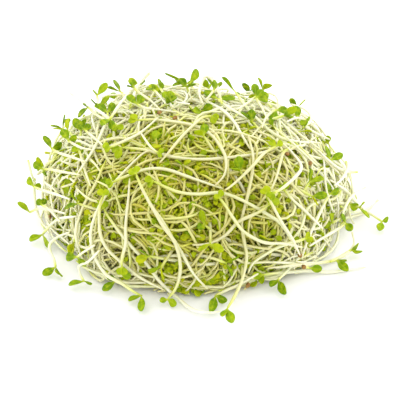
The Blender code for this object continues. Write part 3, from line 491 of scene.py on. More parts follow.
def smooth_run(points, spacing):
    """Evenly spaced points of the smooth curve through these points."""
    points = np.array(points, float)
    padded = np.vstack((2 * points[0] - points[1], points, 2 * points[-1] - points[-2]))
    share = np.linspace(0.0, 1.0, CURVE_STEPS, endpoint=False)[:, None]
    pieces = []
    for a, b, c, d in zip(padded, padded[1:], padded[2:], padded[3:]):
        bend = (2 * a - 5 * b + 4 * c - d) * share**2 + (3 * b - a - 3 * c + d) * share**3
        pieces.append(b + 0.5 * ((c - a) * share + bend))
    curve = np.vstack(pieces + [points[-1:]])
    along = np.append(0.0, np.cumsum(np.linalg.norm(np.diff(curve, axis=0), axis=1)))
    stops = np.linspace(0.0, along[-1], max(3, round(along[-1] / spacing) + 1))
    return np.stack([np.interp(stops, along, side) for side in curve.T], axis=1)


def on_sight_lines(view, height, floor):
    """Where the sight line through each point of the front view first meets the layer at its height or
    the floor, or comes nearest to the heap."""
    target = np.outer(view[:, 0], RIGHT) + np.outer(view[:, 1], UP)
    line = unit(target - EYE)
    reach = np.arange(-SIGHT_RANGE, SIGHT_RANGE)
    points = target[:, None] + reach[None, :, None] * line[:, None]
    gap = heap_height(points) - height[:, None]
    to_floor = (floor - target[:, 2]) / line[:, 2]
    above = reach[None, :] < to_floor[:, None]
    first_met = []
    for row, clear in zip(gap, above):
        last = int(clear.sum()) - 1
        met = np.flatnonzero(row[: last + 1] <= 0.0)
        if met.size:
            k = max(int(met[0]), 1)
            first_met.append(reach[k] - row[k] / (row[k] - row[k - 1]))
        else:
            nearest = int(row[: last + 1].argmin())
            first_met.append(reach[nearest] if nearest < last else np.inf)
    return target, line, np.minimum(first_met, to_floor), to_floor


def laid(view, breaks, height, floor):
    """The points in space of a sprout drawn in the front view. The stem, the first strand, bridges
    hollows, and the leaves stay near the depth of its end."""
    target, line, limit, to_floor = on_sight_lines(view, height, floor)
    depth = limit.copy()
    for start, end in breaks:
        strand = depth[start:end]
        for _ in range(SPRINGINESS):
            padded = np.concatenate((strand[:1], strand, strand[-1:]))
            strand = np.minimum(limit[start:end], (padded[:-2] + 2 * padded[1:-1] + padded[2:]) / 4.0)
        depth[start:end] = strand
    fork = breaks[0][1]
    away = LEAF_SLANT * np.linalg.norm(view[fork:] - view[fork - 1], axis=1)
    depth[fork:] = np.clip(depth[fork:], depth[fork - 1] - away, depth[fork - 1] + away)
    return target + np.minimum(depth, to_floor)[:, None] * line


def stem_radii(along):
    """Radius at each distance from the root tip, the last one being where the seed leaves part."""
    along = np.asarray(along)
    root = ROOT_TIP_RADIUS + (STEM_RADIUS - ROOT_TIP_RADIUS) * np.minimum(along / ROOT_TAPER, 1.0)
    neck = NECK_RADIUS + (STEM_RADIUS - NECK_RADIUS) * np.minimum((along[-1] - along) / NECK_LENGTH, 1.0)
    return np.minimum(root, neck)


class Placed:
    """The middle lines laid so far, as points with the radius that each keeps clear."""

    def __init__(self):
        self.points = np.empty((0, 3))
        self.radii = np.empty(0)

    def add(self, points, radii):
        """Keeps these points too."""
        self.points = np.vstack((self.points, points))
        self.radii = np.append(self.radii, radii)

    def shortfall(self, points, radii):
        """How much nearer than allowed each new point is to what is laid. Below 0 it is clear."""
        if not len(self.radii):
            return np.full(len(points), -1.0)
        reach = radii.max() + self.radii.max() + GAP
        low, high = points.min(axis=0) - reach, points.max(axis=0) + reach
        near = ((self.points > low) & (self.points < high)).all(axis=1)
        if not near.any():
            return np.full(len(points), -1.0)
        away = np.linalg.norm(points[:, None] - self.points[None, near], axis=2)
        return (radii[:, None] + self.radii[None, near] + GAP - away).max(axis=1)


def filled_in(points, radii, links):
    """The points with three more along each link between two of them, and the radius at each."""
    starts, ends = points[links[:, 0]], points[links[:, 1]]
    between = [starts + share * (ends - starts) for share in (0.25, 0.5, 0.75)]
    return np.vstack([points] + between), np.concatenate([radii] + 3 * [radii[links].max(axis=1)])


def lay_sprout(route, tips, placed, most_lift=np.inf):
    """One outside sprout: it follows the heap's skin, and is lifted in long humps over those laid
    before it."""
    stem = smooth_run(route, SPACING)
    strands = [stem] + [np.linspace(stem[-1], tip[:2], LEAF_SAMPLES)[1:] for tip in tips]
    view = np.vstack(strands)
    ends = np.cumsum([len(strand) for strand in strands])
    breaks = list(zip(np.append(0, ends[:-1]), ends))
    links = np.array([(k, k + 1) for start, end in breaks for k in range(start, end - 1)])
    along = [SPACING * np.arange(len(stem))]
    along += [along[0][-1] + np.linalg.norm(strand - stem[-1], axis=1) for strand in strands[1:]]
    radii = np.concatenate([stem_radii(along[0])] + [np.full(len(s), LEAF_GUARD) for s in strands[1:]])
    to_leaves = np.minimum((along[0][-1] - along[0]) / NECK_LENGTH, 1.0)
    floors = radii + LEAF_LIFT
    floors[: len(stem)] = radii[: len(stem)] + FLOOR_GAP
    rise = LEAF_GUARD + LEAF_LIFT - NECK_RADIUS
    floors[: len(stem)] += rise * (0.5 + 0.5 * np.cos(math.pi * to_leaves))
    along = np.concatenate(along)
    hump = 0.5 + 0.5 * np.cos(math.pi * np.minimum(np.abs(along[:, None] - along[None]) / HUMP, 1.0))
    lift = np.zeros(len(view))
    for _ in range(MOST_LIFTS):
        raised = (lift[None] * hump).max(axis=1)
        points = laid(view, breaks, LAYING_HEIGHT + raised, floors + raised)
        short = placed.shortfall(*filled_in(points, radii, links))
        if short.max() <= 0.0:
            break
        between = short[len(view) :].reshape(3, -1).max(axis=0)
        short = short[: len(view)]
        for end in (0, 1):
            np.maximum.at(short, links[:, end], between)
        lift = np.minimum(lift + np.where(short > 0.0, LIFT_SHARE * short + LEAST_LIFT, 0.0), most_lift)
    placed.add(*filled_in(points, radii, links))
    stem, *leaves = [points[a:b] for a, b in breaks]
    blades = []
    for leaf, tip in zip(leaves, tips):
        middle = leaf[len(leaf) // 2]
        facing = unit(unit(heap_slope(middle)) + unit(EYE - middle))
        blades.append((stem[-1], leaf[-1], facing, math.radians(tip[2])))
    return stem, blades


def wander(draw, turn, rise, top):
    """A fused sprout's middle line: it starts inside the core in this direction, lies along the heap and
    lifts its leaves out to the height given as top."""
    out = np.array((math.cos(turn) * math.cos(rise), math.sin(turn) * math.cos(rise), math.sin(rise)))
    point = settled(INSIDE * out, ROOT_HEIGHT, STEM_RADIUS + ROOT_FLOOR_GAP)
    heading = np.array([draw.gauss(0.0, 1.0) for _ in range(3)])
    curl = draw.uniform(-SHARPEST_CURL, SHARPEST_CURL)
    steps = draw.randint(FEWEST_STEPS, MOST_STEPS)
    lying = draw.choice(LYING_HEIGHTS)
    turns = (0, RISING_STEPS, steps - LIFTING_STEPS, steps)
    line = [point]
    for step in range(1, steps + 1):
        normal = unit(heap_slope(point))
        heading = unit(heading - normal * heading.dot(normal))
        heading = unit(heading * math.cos(curl) + np.cross(normal, heading) * math.sin(curl))
        height = np.interp(step, turns, (ROOT_HEIGHT, lying, lying, top))
        moved = settled(point + STEP * heading, height, STEM_RADIUS + FUSED_FLOOR_GAP)
        heading = moved - point
        point = moved
        line.append(point)
    return np.array(line)


def leaf_tips(draw, stem):
    """Tips and facing of the two seed leaves that open at the end of this stem."""
    ahead = unit(stem[-1] - stem[-2])
    out = unit(heap_slope(stem[-1]))
    side = unit(np.cross(out, ahead))
    opening = math.radians(draw.uniform(*LEAF_OPENING))
    roll = draw.uniform(-LEAF_ROLL, LEAF_ROLL)
    side = unit(side + roll * np.cross(ahead, side))
    blades = []
    for way in (-1, 1):
        axis = ahead * math.cos(opening) + way * side * math.sin(opening) + LEAF_RAISE * out
        length = LEAF_LENGTH * draw.uniform(*LEAF_SIZES)
        turned = draw.uniform(-LEAF_ROLL, LEAF_ROLL)
        blades.append((stem[-1], stem[-1] + length * unit(axis), unit(out + ahead), turned))
    return blades


def deselected():
    """Leaves edit mode, with nothing selected."""
    if bpy.context.object and bpy.context.object.mode != "OBJECT":
        bpy.ops.object.mode_set(mode="OBJECT")
    bpy.ops.object.select_all(action="DESELECT")


def faces_outwards():
    """Turns every face of the piece that is edited outwards, and ends the edit."""
    bpy.ops.mesh.select_all(action="SELECT")
    bpy.ops.mesh.normals_make_consistent(inside=False)
    bpy.ops.object.mode_set(mode="OBJECT")


def smoothed(piece, levels):
    """The piece with its surface subdivided so many times."""
    smooth = piece.modifiers.new("smooth", "SUBSURF")
    smooth.levels = smooth.render_levels = levels
    bpy.ops.object.modifier_apply(modifier=smooth.name)
    return piece


def select_points(obj, wanted):
    """In edit mode, selects the points whose place passes the test, and what lies between them."""
    bpy.ops.mesh.select_all(action="DESELECT")
    bm = bmesh.from_edit_mesh(obj.data)
    for vert in bm.verts:
        vert.select = wanted(vert.co)
    bm.select_flush(True)
    bmesh.update_edit_mesh(obj.data)


class Master:
    """The mesh of a modelled piece, which is then copied by its arrays. The object itself is removed."""

    def __init__(self, obj):
        mesh = obj.data
        self.points = np.array([vert.co for vert in mesh.vertices])
        self.corners = np.array([loop.vertex_index for loop in mesh.loops])
        self.starts = np.array([face.loop_start for face in mesh.polygons])
        bpy.data.objects.remove(obj)
        bpy.data.meshes.remove(mesh)


def straight_stem(sides, steps):
    """A stem of length 1 and radius 1 along +Z, with its root tip at 0 and both ends blunt."""
    deselected()
    bpy.ops.mesh.primitive_circle_add(vertices=sides, radius=STEM_END, fill_type="TRIFAN", location=(0, 0, 0))
    stem = bpy.context.object
    bpy.ops.object.mode_set(mode="EDIT")
    bpy.ops.mesh.select_all(action="SELECT")
    rise = 1.0 / steps
    widths = [1.0 / STEM_END] + [1.0] * (steps - 2) + [STEM_END]
    at = 0.0
    for width in widths:
        at += rise
        bpy.ops.mesh.extrude_region_move(TRANSFORM_OT_translate={"value": (0.0, 0.0, rise)})
        bpy.ops.transform.resize(value=(width, width, 1.0), center_override=(0.0, 0.0, at))
    faces_outwards()
    return Master(stem)


def flat_leaf(levels):
    """A seed leaf along +Y: 1 long, 2 wide and 1 thick, on a narrow stalk, with a sunken midrib."""
    deselected()
    bpy.ops.mesh.primitive_plane_add(size=1.0, location=(0, 0, 0), rotation=(math.radians(90.0), 0, 0))
    leaf = bpy.context.object
    bpy.ops.object.transform_apply(location=False, rotation=True, scale=False)
    bpy.ops.object.mode_set(mode="EDIT")
    bpy.ops.mesh.select_all(action="SELECT")
    at, half_width = LEAF_STATIONS[0]
    bpy.ops.transform.resize(value=(2.0 * half_width, 1.0, 1.0), center_override=(0, 0, 0))
    for station, width in LEAF_STATIONS[1:]:
        bpy.ops.mesh.extrude_region_move(TRANSFORM_OT_translate={"value": (0.0, station - at, 0.0)})
        bpy.ops.transform.resize(value=(width / half_width, 1.0, 1.0), center_override=(0, station, 0))
        at, half_width = station, width
    bpy.ops.mesh.select_all(action="SELECT")
    bpy.ops.mesh.bisect(plane_co=(0, 0, 0), plane_no=(1, 0, 0))
    select_points(leaf, lambda co: abs(co.x) < 0.01 and co.z > 0 and 0.1 < co.y < 0.95)
    bpy.ops.transform.translate(value=(0, 0, -MIDRIB_DEPTH))
    faces_outwards()
    master = Master(smoothed(leaf, levels) if levels else leaf)
    low, high = master.points.min(axis=0), master.points.max(axis=0)
    master.points = (master.points - (0.0, low[1], 0.0)) / (high[0], high[1] - low[1], high[2] - low[2])
    return master


def split_husk():
    """A seed coat of half size 1: a bean-shaped shell that is torn open at one end."""
    deselected()
    bpy.ops.mesh.primitive_uv_sphere_add(segments=14, ring_count=9, radius=1.0, location=(0, 0, 0))
    husk = bpy.context.object
    bpy.ops.object.mode_set(mode="EDIT")
    select_points(husk, lambda co: co.x > 0.55 and abs(co.z) < 0.5)
    bpy.ops.mesh.delete(type="VERT")
    faces_outwards()
    wall = husk.modifiers.new("wall", "SOLIDIFY")
    wall.thickness = COAT_WALL
    wall.offset = -1.0
    bpy.ops.object.modifier_apply(modifier=wall.name)
    master = Master(smoothed(husk, 1))
    master.points -= np.outer(COAT_BEND * master.points[:, 0] ** 2, (0, 0, 1))
    return master


def turned_frames(lines):
    """Two directions square to each line at each of its points, turned as little as possible along it."""
    ahead = unit(np.gradient(lines, axis=1))
    across = np.empty_like(lines)
    across[:, 0] = unit(np.cross(ahead[:, 0], OFF_AXIS))
    for k in range(1, lines.shape[1]):
        before = across[:, k - 1]
        across[:, k] = unit(before - ahead[:, k] * (before * ahead[:, k]).sum(axis=1, keepdims=True))
    return across, np.cross(ahead, across)


def bent_stems(master, lines, radii):
    """Where the points of a straight stem go on each of these lines, with this radius at each point of it,
    and how far each is round to the stem's underside: 0 faces out of the heap, and 1 faces into it."""
    across, up = turned_frames(lines)
    place = master.points[:, 2] * (lines.shape[1] - 1)
    k = np.clip(np.floor(place + 1e-4).astype(int), 0, lines.shape[1] - 2)
    share = (place - k)[None, :, None]

    def along(values):
        """The values of the line's points, at the stem's own points."""
        return values[:, k] * (1.0 - share) + values[:, k + 1] * share

    x, y = master.points[None, :, 0, None], master.points[None, :, 1, None]
    off = x * along(across) + y * along(up)
    out = along(unit(heap_slope(lines)))
    under = 0.5 - 0.5 * np.clip((off * out).sum(axis=2), -1.0, 1.0)
    return along(lines) + along(radii[..., None]) * off, under


def opened_leaves(master, base, tip, facing, turned, width, cup, arch):
    """Where the points of a flat leaf go for leaves from each base to its tip."""
    axis = unit(tip - base)
    length = (np.linalg.norm(tip - base, axis=1) + LEAF_ROOT)[:, None, None]
    across = unit(np.cross(axis, facing))
    across = np.cos(turned)[:, None] * across + np.sin(turned)[:, None] * np.cross(axis, across)
    normal = np.cross(across, axis)
    x, y, z = (master.points[None, :, k, None] for k in range(3))
    half_width = np.minimum(LEAF_HALF_WIDTH * width, LEAF_SLIMNESS * length[:, 0, 0])[:, None, None]
    blade = np.clip((y - STALK_SHARE) / STALK_FADE, 0.0, 1.0)
    thickness = LEAF_THICKNESS * (STALK_THICKNESS + (1.0 - STALK_THICKNESS) * blade)
    rise = thickness * z + half_width * cup[:, None, None] * x**2
    rise = rise + length * arch[:, None, None] * y * (1.0 - y)
    start = (base - LEAF_ROOT * axis)[:, None]
    return start + axis[:, None] * length * y + across[:, None] * half_width * x + normal[:, None] * rise


def gathered(name, master, points, material, nodes, values):
    """One piece of many copies. points holds the places of the master's points in each copy, and values a
    number for each of them, under each name."""
    count, size = points.shape[:2]
    copy = np.arange(count)[:, None]
    corners = (master.corners + size * copy).ravel()
    starts = (master.starts + len(master.corners) * copy).ravel()
    mesh = bpy.data.meshes.new(name)
    mesh.vertices.add(count * size)
    mesh.vertices.foreach_set("co", (points * MM).astype(np.float32).ravel())
    mesh.loops.add(len(corners))
    mesh.loops.foreach_set("vertex_index", corners.astype(np.int32))
    mesh.polygons.add(len(starts))
    mesh.polygons.foreach_set("loop_start", starts.astype(np.int32))
    mesh.update(calc_edges=True)
    mesh.shade_smooth()
    for key, numbers in values.items():
        layer = mesh.attributes.new(key, "FLOAT", "POINT")
        layer.data.foreach_set("value", numbers.astype(np.float32).ravel())
    mesh.materials.append(material)
    piece = bpy.data.objects.new(name, mesh)
    bpy.context.scene.collection.objects.link(piece)
    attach(piece, "root")
    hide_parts(*nodes)


def stem_piece(name, master, lines, radii, tones, finish, shade, nodes=("tangle",)):
    """Stems as one piece. tones holds a number for each stem, and shade says how much painted shade they get.
    """
    points, under = bent_stems(master, lines, radii)
    like = np.ones(points.shape[:2])
    values = {
        "along": like * master.points[None, :, 2],
        "tone": like * tones[:, None],
        "under": under,
        # depth holds the painted shade: paler at the rim of the front view, darker deep in the heap
        "depth": painted_shade(points, shade),
    }
    gathered(name, master, points, finish, nodes, values)


def leaf_piece(name, master, leaves, tones, nodes=("tangle",)):
    """Seed leaves as one piece. leaves holds the arrays that opened_leaves takes."""
    points = opened_leaves(master, *leaves)
    like = np.ones(points.shape[:2])
    values = {
        "along": like * master.points[None, :, 1],
        "across": like * np.abs(master.points[None, :, 0]),
        "tone": like * tones[:, None],
    }
    gathered(name, master, points, leaf_finish, nodes, values)


def resampled(line, steps):
    """The line as so many even steps."""
    along = np.append(0.0, np.cumsum(np.linalg.norm(np.diff(line, axis=0), axis=1)))
    stops = np.linspace(0.0, along[-1], steps + 1)
    return np.stack([np.interp(stops, along, side) for side in line.T], axis=1), stops


def leaf_shapes(draw, ranges, count):
    """The width, cup and arch of so many leaves."""
    return [draw.uniform(*limits, count) for limits in ranges]


def leaf_arrays(blades, draw):
    """The arrays for opened_leaves, from blades as (base, tip, facing, turn)."""
    base, tip, facing, turned = (np.array([blade[k] for blade in blades]) for k in range(4))
    return base, tip, facing, turned, *leaf_shapes(draw, FINE_LEAF_SHAPES, len(blades))


def tapered(radius, taper):
    """The radius at each step of stems this thick."""
    shares = np.linspace(0.0, 1.0, MAT_STEPS + 1)
    return np.asarray(radius)[:, None] * np.interp(shares, *taper)[None]


def outside_sprout(name, number, stem, blades, draw, nodes=("tangle",)):
    """One fine sprout: its stem and its seed leaves."""
    line, stops = resampled(stem, FINE_STEPS)
    swell = FINE_SWELL + sum(size * np.sin(stops / length + shift * number) for size, length, shift in SWELLS)
    tone = np.array([draw.random()])
    radii = (stem_radii(stops) * swell)[None]
    stem_piece(f"{name}_stem_{number:02d}", fine_stem, line[None], radii, tone, stem_finish, 1.0, nodes)
    if blades:
        spread = LEAF_TONE * draw.random() + draw.uniform(-LEAF_TONE_SPREAD, LEAF_TONE_SPREAD, len(blades))
        tones = np.clip(spread, 0.0, 1.0)
        fork = stem[-1]
        if outline_share(front_view(fork)) < FACE_REACH and fork[1] < 0.0:
            blades = [(fork, fork + FACE_LEAF_SIZE * (blade[1] - fork), *blade[2:]) for blade in blades]
            tones = FACE_LEAF_TONE + (1.0 - FACE_LEAF_TONE) * tones
        leaf_piece(f"{name}_leaves_{number:02d}", fine_leaf, leaf_arrays(blades, draw), tones, nodes)


class Guard:
    """The outside sprouts, which what lies in the mat keeps clear of."""

    def __init__(self, placed):
        self.radii = placed.radii
        self.tree = KDTree(len(placed.points))
        for k, point in enumerate(placed.points):
            self.tree.insert(point, k)
        self.tree.balance()

    def shortfall(self, points, own):
        """How much nearer than allowed each point is to the outside sprouts, for one of this radius."""
        own = np.broadcast_to(own, points.shape[:-1]).ravel()
        short = np.empty(len(own))
        for k, point in enumerate(points.reshape(-1, 3)):
            _, found, away = self.tree.find(point)
            short[k] = self.radii[found] + own[k] - away
        return short.reshape(points.shape[:-1])


def all_round(draw, count, jitter):
    """Directions spread evenly all over the heap."""
    number = np.arange(count) + draw.random(count)
    rise = np.arcsin(number / count)
    turn = np.arange(count) * GOLDEN_ANGLE
    if jitter:
        turn = turn + draw.uniform(-jitter, jitter, count)
    return np.stack((np.cos(turn) * np.cos(rise), np.sin(turn) * np.cos(rise), np.sin(rise)), axis=1)


def wandering(draw, count, heights, sway):
    """Middle lines of sprouts that start evenly all over the heap and wander along it at these heights."""
    out = all_round(draw, count, MAT_TURN_JITTER)
    middle = draw.uniform(*heights, count)
    phase = draw.uniform(0.0, 2.0 * math.pi, count)
    pace = draw.uniform(*MAT_PACES, count)
    curl = draw.uniform(*MAT_CURLS, count) * draw.choice((-1.0, 1.0), count)
    bend = draw.uniform(-MAT_BEND, MAT_BEND, count) * MAT_CURLS[1] / MAT_STEPS
    floor = draw.uniform(*MAT_FLOORS, count)
    point = settled(INSIDE * out, middle, floor)
    heading = draw.normal(size=(count, 3))
    lines = [point]
    for step in range(1, MAT_STEPS + 1):
        normal = unit(heap_slope(point))
        heading = unit(heading - normal * (heading * normal).sum(axis=1, keepdims=True))
        turned = (curl + bend * step + MAT_WAVE * np.sin(2.0 * phase + 1.3 * pace * step))[:, None]
        heading = unit(heading * np.cos(turned) + np.cross(normal, heading) * np.sin(turned))
        height = middle + sway * np.sin(phase + pace * step)
        moved = settled(point + MAT_STEP * heading, height, floor)
        heading = moved - point
        point = moved
        lines.append(point)
    return np.stack(lines, axis=1)


def sunk_clear(lines, radii, guard):
    """The lines pressed down until they are clear of the outside sprouts."""
    for _ in range(PRESSINGS):
        short = np.maximum(guard.shortfall(lines, radii), 0.0)
        if short.max() <= 0.0:
            break
        spread = short.copy()
        spread[:, 1:] = np.maximum(spread[:, 1:], PRESSED_NEIGHBOUR * short[:, :-1])
        spread[:, :-1] = np.maximum(spread[:, :-1], PRESSED_NEIGHBOUR * short[:, 1:])
        lines = lines - unit(heap_slope(lines)) * spread[..., None] * PRESSED_MORE
        lines[..., 2] = np.maximum(lines[..., 2], PRESSED_FLOOR)
    return lines


def opened_pairs(lines, draw):
    """Two seed leaves at the end of each line."""
    ahead = unit(lines[:, -1] - lines[:, -2])
    out = unit(heap_slope(lines[:, -1]))
    side = unit(np.cross(out, ahead))
    count = len(lines)
    opening = np.radians(draw.uniform(*LEAF_OPENING, count))[:, None]
    roll = draw.uniform(-MAT_LEAF_ROLL, MAT_LEAF_ROLL, count)[:, None]
    side = unit(side + roll * np.cross(ahead, side))
    found = []
    for way in (-1, 1):
        axis = unit(ahead * np.cos(opening) + way * side * np.sin(opening) + MAT_LEAF_RAISE * out)
        length = LEAF_LENGTH * draw.uniform(*MAT_LEAF_SIZES, count)[:, None]
        turned = draw.uniform(-LEAF_ROLL, LEAF_ROLL, count)
        found.append((lines[:, -1], lines[:, -1] + length * axis, unit(out + ahead), turned))
    return [np.concatenate(both) for both in zip(*found)]


def front_view(points):
    """The points as (right, up) in the front view, seen from far away."""
    return np.stack((points @ RIGHT, points @ UP), axis=-1)


def outline_share(view):
    """How far out a place in the front view lies, as a share of the way to the heap's outline."""
    return np.linalg.norm((np.asarray(view) - VIEW_MIDDLE) / RIM_HALF_SIZE, axis=-1)


def leafiness(points):
    """How many of the sprouts that end here open their leaves: fewest at the rim of the front view."""
    return np.interp(outline_share(front_view(points)), *LEAFY_SHARES)


def painted_shade(points, shade):
    """How much painted shade each of these points gets: less at the rim of the front view, and in patches
    behind.
    """
    view = front_view(points) - VIEW_MIDDLE
    view[..., 1] *= np.where(view[..., 1] < 0.0, DAYLIT_BASE, 1.0)
    rim = np.clip((outline_share(view + VIEW_MIDDLE) - RIM_START) / RIM_WIDTH, 0.0, 1.0)
    x, y, z = np.moveaxis(points * SHADE_PATCHES, -1, 0)
    patch = 0.5 + 0.5 * np.sin(x + 0.6) * np.sin(z + y)
    behind = np.clip(-unit(heap_slope(points)) @ unit(EYE) / BEHIND_SPAN, 0.0, 1.0)
    rim = rim + behind * (patch - rim)
    return shade * (1.0 - RIM_PAINTED_LIGHT * rim)


def mat_leaves(name, pairs, clear, tones, draw):
    """Those of these seed leaves that are clear of the outside sprouts, as one piece."""
    total = int(clear.sum())
    leaves = [values[clear] for values in pairs] + leaf_shapes(draw, MAT_LEAF_SHAPES, total)
    leaf_piece(name, plain_leaf, leaves, draw.uniform(*tones, total))


def mat_layer(name, draw, count, heights, widths, leafy, shade, guard):
    """One layer of the mat of sprouts, and the leaves that open in it."""
    lines = wandering(draw, count, heights, MAT_SWAY)
    radii = tapered(draw.uniform(*widths, count), MAT_TAPER)
    lines = sunk_clear(lines, radii + MAT_GAP, guard)
    stem_piece(f"{name}_stems", plain_stem, lines, radii, draw.random(count), mat_finish, shade)
    opens = draw.random(count) < leafy * leafiness(lines[:, -1])
    pairs = opened_pairs(lines[opens], draw)
    base, tip = pairs[:2]
    middle = 0.5 * (base + tip)
    short = np.maximum(guard.shortfall(tip, LEAF_TIP_GUARD), guard.shortfall(middle, LEAF_MIDDLE_GUARD))
    clear = (short < 0.0) & (tip[:, 2] > MAT_LEAF_FLOOR) & (middle[:, 2] > MAT_LEAF_FLOOR)
    mat_leaves(f"{name}_leaves", pairs, clear, MAT_LEAF_TONES, draw)


def leaf_litter(draw, guard):
    """Small seed leaves in patches between the sprouts of the mat, most of them towards the front."""
    out = all_round(draw, LITTER, 0.0)
    base = settled(INSIDE * out, draw.uniform(*LITTER_HEIGHTS, LITTER), MAT_LEAF_FLOOR)
    normal = unit(heap_slope(base))
    way = draw.normal(size=(LITTER, 3))
    way = unit(way - normal * (way * normal).sum(axis=1, keepdims=True)) + LITTER_LEAN * normal
    tip = base + unit(way) * LEAF_LENGTH * draw.uniform(*LITTER_SIZES, LITTER)[:, None]
    facing = unit(normal + LITTER_TILT * draw.normal(size=(LITTER, 3)))
    x, y, z = LITTER_PATCH * base.T
    patch = np.sin(x + 1.0) + np.sin(y + 0.8 * z) + np.sin(1.3 * z - 0.6 * x)
    shown = np.clip(LITTER_REACH - outline_share(front_view(base)), LITTER_LEAST, 1.0)
    shown = shown * np.clip(0.55 + 0.4 * patch, 0.1, 1.0)
    short = guard.shortfall(0.5 * (base + tip), LITTER_GUARD)
    kept = (draw.random(LITTER) < shown) & (short < 0.0) & (tip[:, 2] > MAT_LEAF_FLOOR)
    total = int(kept.sum())
    shapes = leaf_shapes(draw, LITTER_SHAPES, total)
    turned = draw.uniform(-LITTER_ROLL, LITTER_ROLL, total)
    leaves = (base[kept], tip[kept], facing[kept], turned, *shapes)
    leaf_piece("mat_litter", plain_leaf, leaves, draw.uniform(*LITTER_TONES, total))


def standing_loops(draw, guard):
    """Stems that rise out of the mat in loops and ends, all round the heap."""
    lines = wandering(draw, LOOP_TRIES, LOOP_HEIGHTS, 0.0)
    rises = draw.uniform(*LOOP_RISE, len(lines))
    peak = draw.uniform(*LOOP_PEAKS, len(lines))
    shares = np.linspace(0.0, 1.0, MAT_STEPS + 1)
    hump = np.exp(-(((shares[None] - peak[:, None]) / LOOP_SPREAD) ** 2))
    lines = lines + unit(heap_slope(lines)) * (rises[:, None] * hump)[..., None]
    lines[..., 2] = np.maximum(lines[..., 2], STEM_RADIUS + LOOP_FLOOR_GAP)
    radii = tapered(draw.uniform(*LOOP_RADII, len(lines)), MAT_TAPER)
    short = guard.shortfall(lines, radii + MAT_GAP).max(axis=1)
    clear = (short < 0.0) & (outline_share(front_view(lines)).min(axis=1) >= LOOP_REACH)
    lines, radii, peak = lines[clear], radii[clear], peak[clear]
    count = len(lines)
    stem_piece("loop_stems", plain_stem, lines, radii, draw.random(count), stem_finish, 1.0)
    opens = (peak > LOOP_LEAFY_PEAK) & (draw.random(count) < LOOP_LEAFY)
    pairs = opened_pairs(lines[opens], draw)
    tip = pairs[1]
    clear = (guard.shortfall(tip, LEAF_TIP_GUARD) < 0.0) & (tip[:, 2] > MAT_LEAF_FLOOR)
    mat_leaves("loop_leaves", pairs, clear, LOOP_LEAF_TONES, draw)


def inner_view(middle, way, size, draw):
    """An inner sprout in the front view: four points of its stem, the last where the leaves part, then the
    middle and the tip of each leaf."""
    point = np.array((math.cos(way), math.sin(way)))
    aside = way + draw.choice((-1, 1)) * draw.uniform(*INNER_OPENING)
    other = np.array((math.cos(aside), math.sin(aside)))
    leaf = INNER_LEAF * size
    fork = middle - leaf * point
    back = unit(-(point + other))
    bow = np.array((-back[1], back[0])) * draw.uniform(-INNER_BOW, INNER_BOW)
    stem = [fork + back * away + share * bow for away, share in INNER_STEM] + [fork]
    leaves = ((point, leaf), (other, INNER_SECOND_LEAF * leaf))
    tips = [fork + reach * half * side for side, half in leaves for reach in (1.0, 2.0)]
    stem = [place * min(1.0, INNER_REACH / max(outline_share(place), INNER_REACH)) for place in stem]
    return np.array(stem + tips)


def inner_laid(view, size, placed, draw):
    """The points in space of an inner sprout, sunk until it is clear of what is laid over it."""
    height = np.array(INNER_HEIGHTS) + draw.uniform(-1.0, 0.0)
    own = np.array(INNER_GUARDS) * (0.5 + 0.5 * size)
    for _ in range(INNER_TRIES):
        target, line, depth, to_floor = on_sight_lines(view, height, own + INNER_FLOOR_GAP)
        depth = np.minimum(np.clip(depth, depth[3] - INNER_SLANT, depth[3] + INNER_SLANT), to_floor)
        points = target + depth[:, None] * line
        short = placed.shortfall(points, own - GAP).max()
        if short <= 0.0:
            break
        height = height - INNER_SINK * max(short, INNER_LEAST_SINK)
    return points


def inner_sprouts(draw, placed):
    """Clusters of short sprouts whose leaves show between the outside stems."""
    lines, blades = [], []
    for right, up, way in INNER_LEAVES:
        for size in INNER_SIZES:
            first = size == INNER_SIZES[0]
            stray = np.zeros(2) if first else draw.normal(0.0, INNER_SPREAD, 2)
            turn = math.radians(way) + (0.0 if first else draw.uniform(0.0, 2.0 * math.pi))
            middle = np.array((right, up)) + stray - VIEW_MIDDLE
            middle = middle * min(1.0, INNER_REACH / outline_share(middle + VIEW_MIDDLE)) + VIEW_MIDDLE
            points = inner_laid(inner_view(middle, turn, size, draw), size, placed, draw)
            lines.append(resampled(smooth_run(points[:4], 1.0), MAT_STEPS)[0])
            facing = unit(unit(heap_slope(points[4])) + unit(EYE - points[4]))
            for tip in (points[5], points[7]):
                blades.append((points[3], tip, facing, draw.uniform(-INNER_ROLL, INNER_ROLL)))
    lines = np.array(lines)
    radii = tapered(np.full(len(lines), INNER_RADIUS), INNER_TAPER)
    stem_piece("inner_stems", plain_stem, lines, radii, draw.random(len(lines)), mat_finish, INNER_SHADE)
    tones = draw.uniform(*INNER_TONES, len(blades))
    leaves = leaf_arrays(blades, draw)
    large = np.arange(len(blades)) // 2 % len(INNER_SIZES) == 0
    leaf_piece("inner_leaves", fine_leaf, [values[large] for values in leaves], tones[large])
    leaf_piece("inner_small_leaves", plain_leaf, [values[~large] for values in leaves], tones[~large])


def tangle_sprouts(placed, draw):
    """The sprouts that the tangle's solid shows, in fine: the same draws put each where it is there."""
    same = random.Random(TANGLE_SEED)
    for _ in range(CORE_SIDES * CORE_RINGS):
        same.uniform(-1.0, 1.0)
    fused = Placed()
    lines, radii, blades = [], [], []
    for number in range(TANGLE_SPROUTS):
        found = fused_sprout(same, number, placed, fused)
        if found:
            line, stops = resampled(found[0], FINE_STEPS)
            lines.append(line)
            radii.append(stem_radii(stops))
            blades += found[1]
    tones = draw.random(len(lines))
    stem_piece("tangle_stems", fine_stem, np.array(lines), np.array(radii), tones, stem_finish, 1.0)
    leaf_piece("tangle_leaves", fine_leaf, leaf_arrays(blades, draw), draw.random(len(blades)))
    placed.add(fused.points, fused.radii)


